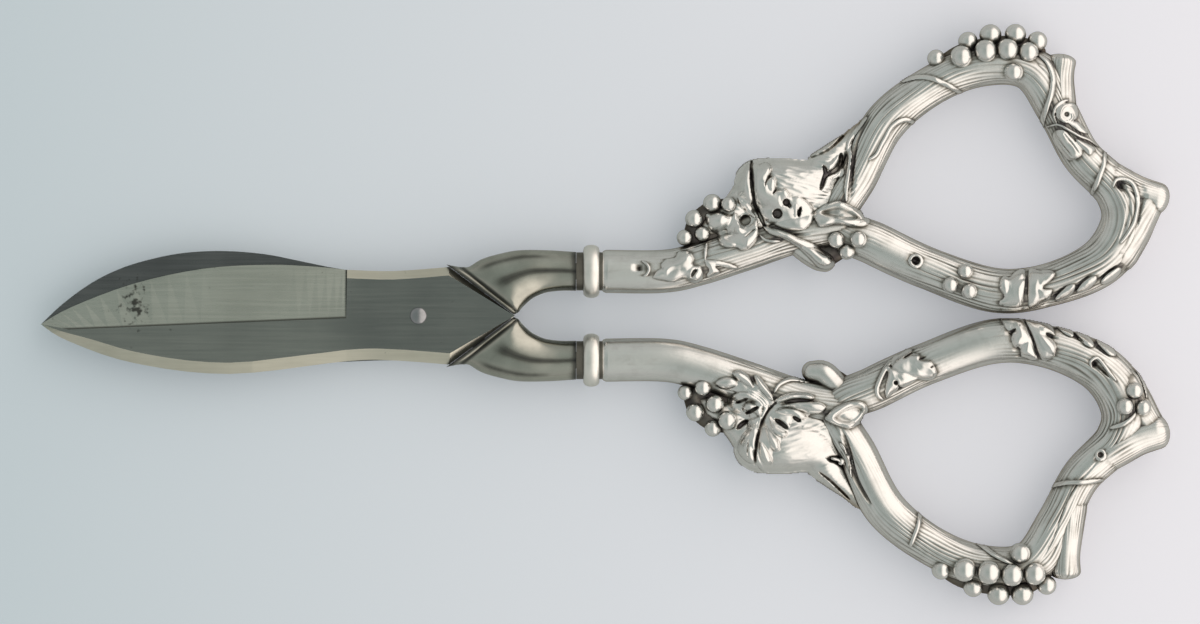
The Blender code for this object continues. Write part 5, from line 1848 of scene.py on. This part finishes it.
@dataclass
class Studio:
    """The pale table, the soft light and the camera above it."""

    pivot: Vector
    view_width: float = 0.192
    view_centre: Point = (29.04, 0.60)
    camera_height: float = 1.9
    sensor_width: float = 36.0
    table_size: float = 3.0
    table_level: float = -0.0002
    # table colours: painted shading, darker on the left and lighter on the right where the light falls
    table_shaded_left: str = "#C2CFD8"
    table_lit_right: str = "#F0F0FA"
    table_light_span: Point = (-0.10, 0.10)
    mirrored_shade: str = "#C8C8BE"
    own_light: float = 0.22
    room: tuple[tuple[float, str], ...] = (
        (0.0, "#A9AAA5"), (0.45, "#B2B4AF"), (0.8, "#A8AEA9"), (1.0, "#979F9A"),
    )
    lamp: str = "#FFEFE4"
    lamp_way: Station = (0.87, 0.0, 0.5)
    lamp_edge: Point = (0.48, 0.72)
    lamp_flatness: float = 0.55
    lamp_strength: float = 0.85

    def table(self) -> None:
        """Lays the table that the shears lie on: a milky sheet, lit a little from below, with painted
        shading from a darker left to a lighter right.
        """
        bpy.ops.object.select_all(action="DESELECT")
        bpy.ops.mesh.primitive_plane_add(size=self.table_size, location=(0.0, 0.0, self.table_level))
        obj = bpy.context.active_object
        obj.name = "table"
        made, graph = new_material("milky acrylic sheet")
        # Painted shading: the sheet runs darker to the left and lighter to the right, as the light falls
        # from the right.
        across = graph.ranged(graph.axis(graph.place(), "X"), self.table_light_span)
        sheet = graph.ramp(across, ((0.0, self.table_shaded_left), (1.0, self.table_lit_right)))
        mirrored = graph.add("LightPath", "Is Glossy Ray")
        colour = graph.coat(sheet, self.mirrored_shade, mirrored, "MULTIPLY")
        graph.shade({"Roughness": 0.65, "Specular IOR Level": 0.2, "Base Color": colour})
        graph.shade({"Emission Color": colour, "Emission Strength": self.own_light})
        obj.data.materials.append(made)

    def light(self) -> None:
        """Sets a dim grey surround with one broad bright side, to the right of the shears."""
        world = bpy.data.worlds.new("soft surround")
        bpy.context.scene.world = world
        world.use_nodes = True
        graph = Graph(world.node_tree)
        way = graph.add("TexCoord", "Generated")
        room = graph.ramp(graph.axis(way, "Z"), self.room)
        scale = (1.0, self.lamp_flatness, 1.0)
        flattened = graph.add("Mapping", "Vector", {"Scale": scale, "Vector": way})
        aimed = graph.add("VectorMath", "Vector", {"operation": "NORMALIZE", 0: flattened})
        facing = {"operation": "DOT_PRODUCT", 0: aimed, 1: Vector(self.lamp_way)}
        towards = graph.add("VectorMath", "Value", facing)
        share = graph.ranged(towards, self.lamp_edge, (0.0, self.lamp_strength))
        share.node.interpolation_type = "SMOOTHSTEP"
        glow = {"operation": "SCALE", 0: linear(self.lamp)[:3], "Scale": share}
        lamp = graph.add("VectorMath", "Vector", glow)
        total = graph.add("VectorMath", "Vector", {"operation": "ADD", 0: room, 1: lamp})
        graph.fill(graph.tree.nodes["Background"], {"Color": total})

    def camera(self) -> None:
        """Hangs the camera straight above the shears."""
        data = bpy.data.cameras.new("copy stand")
        data.sensor_width = self.sensor_width
        data.lens = self.sensor_width * self.camera_height / self.view_width
        data.clip_end = 10.0
        obj = bpy.data.objects.new("copy stand", data)
        bpy.context.scene.collection.objects.link(obj)
        x, y = self.view_centre
        obj.location = self.pivot + Vector((x * MM, y * MM, self.camera_height))
        bpy.context.scene.camera = obj

    def set_up(self) -> None:
        """Makes the table, the light and the camera."""
        self.table()
        self.light()
        self.camera()
        bpy.context.scene.view_settings.view_transform = "Standard"


def main() -> None:
    """Builds the dressed shears and the studio."""
    logging.basicConfig(level=logging.INFO, format="%(name)s: %(message)s")
    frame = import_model()
    shears = Shears(frame)
    shears.blades()
    shears.handles()
    shears.fittings()
    Studio(shears.pivot).set_up()


if __name__ == "__main__":
    main()
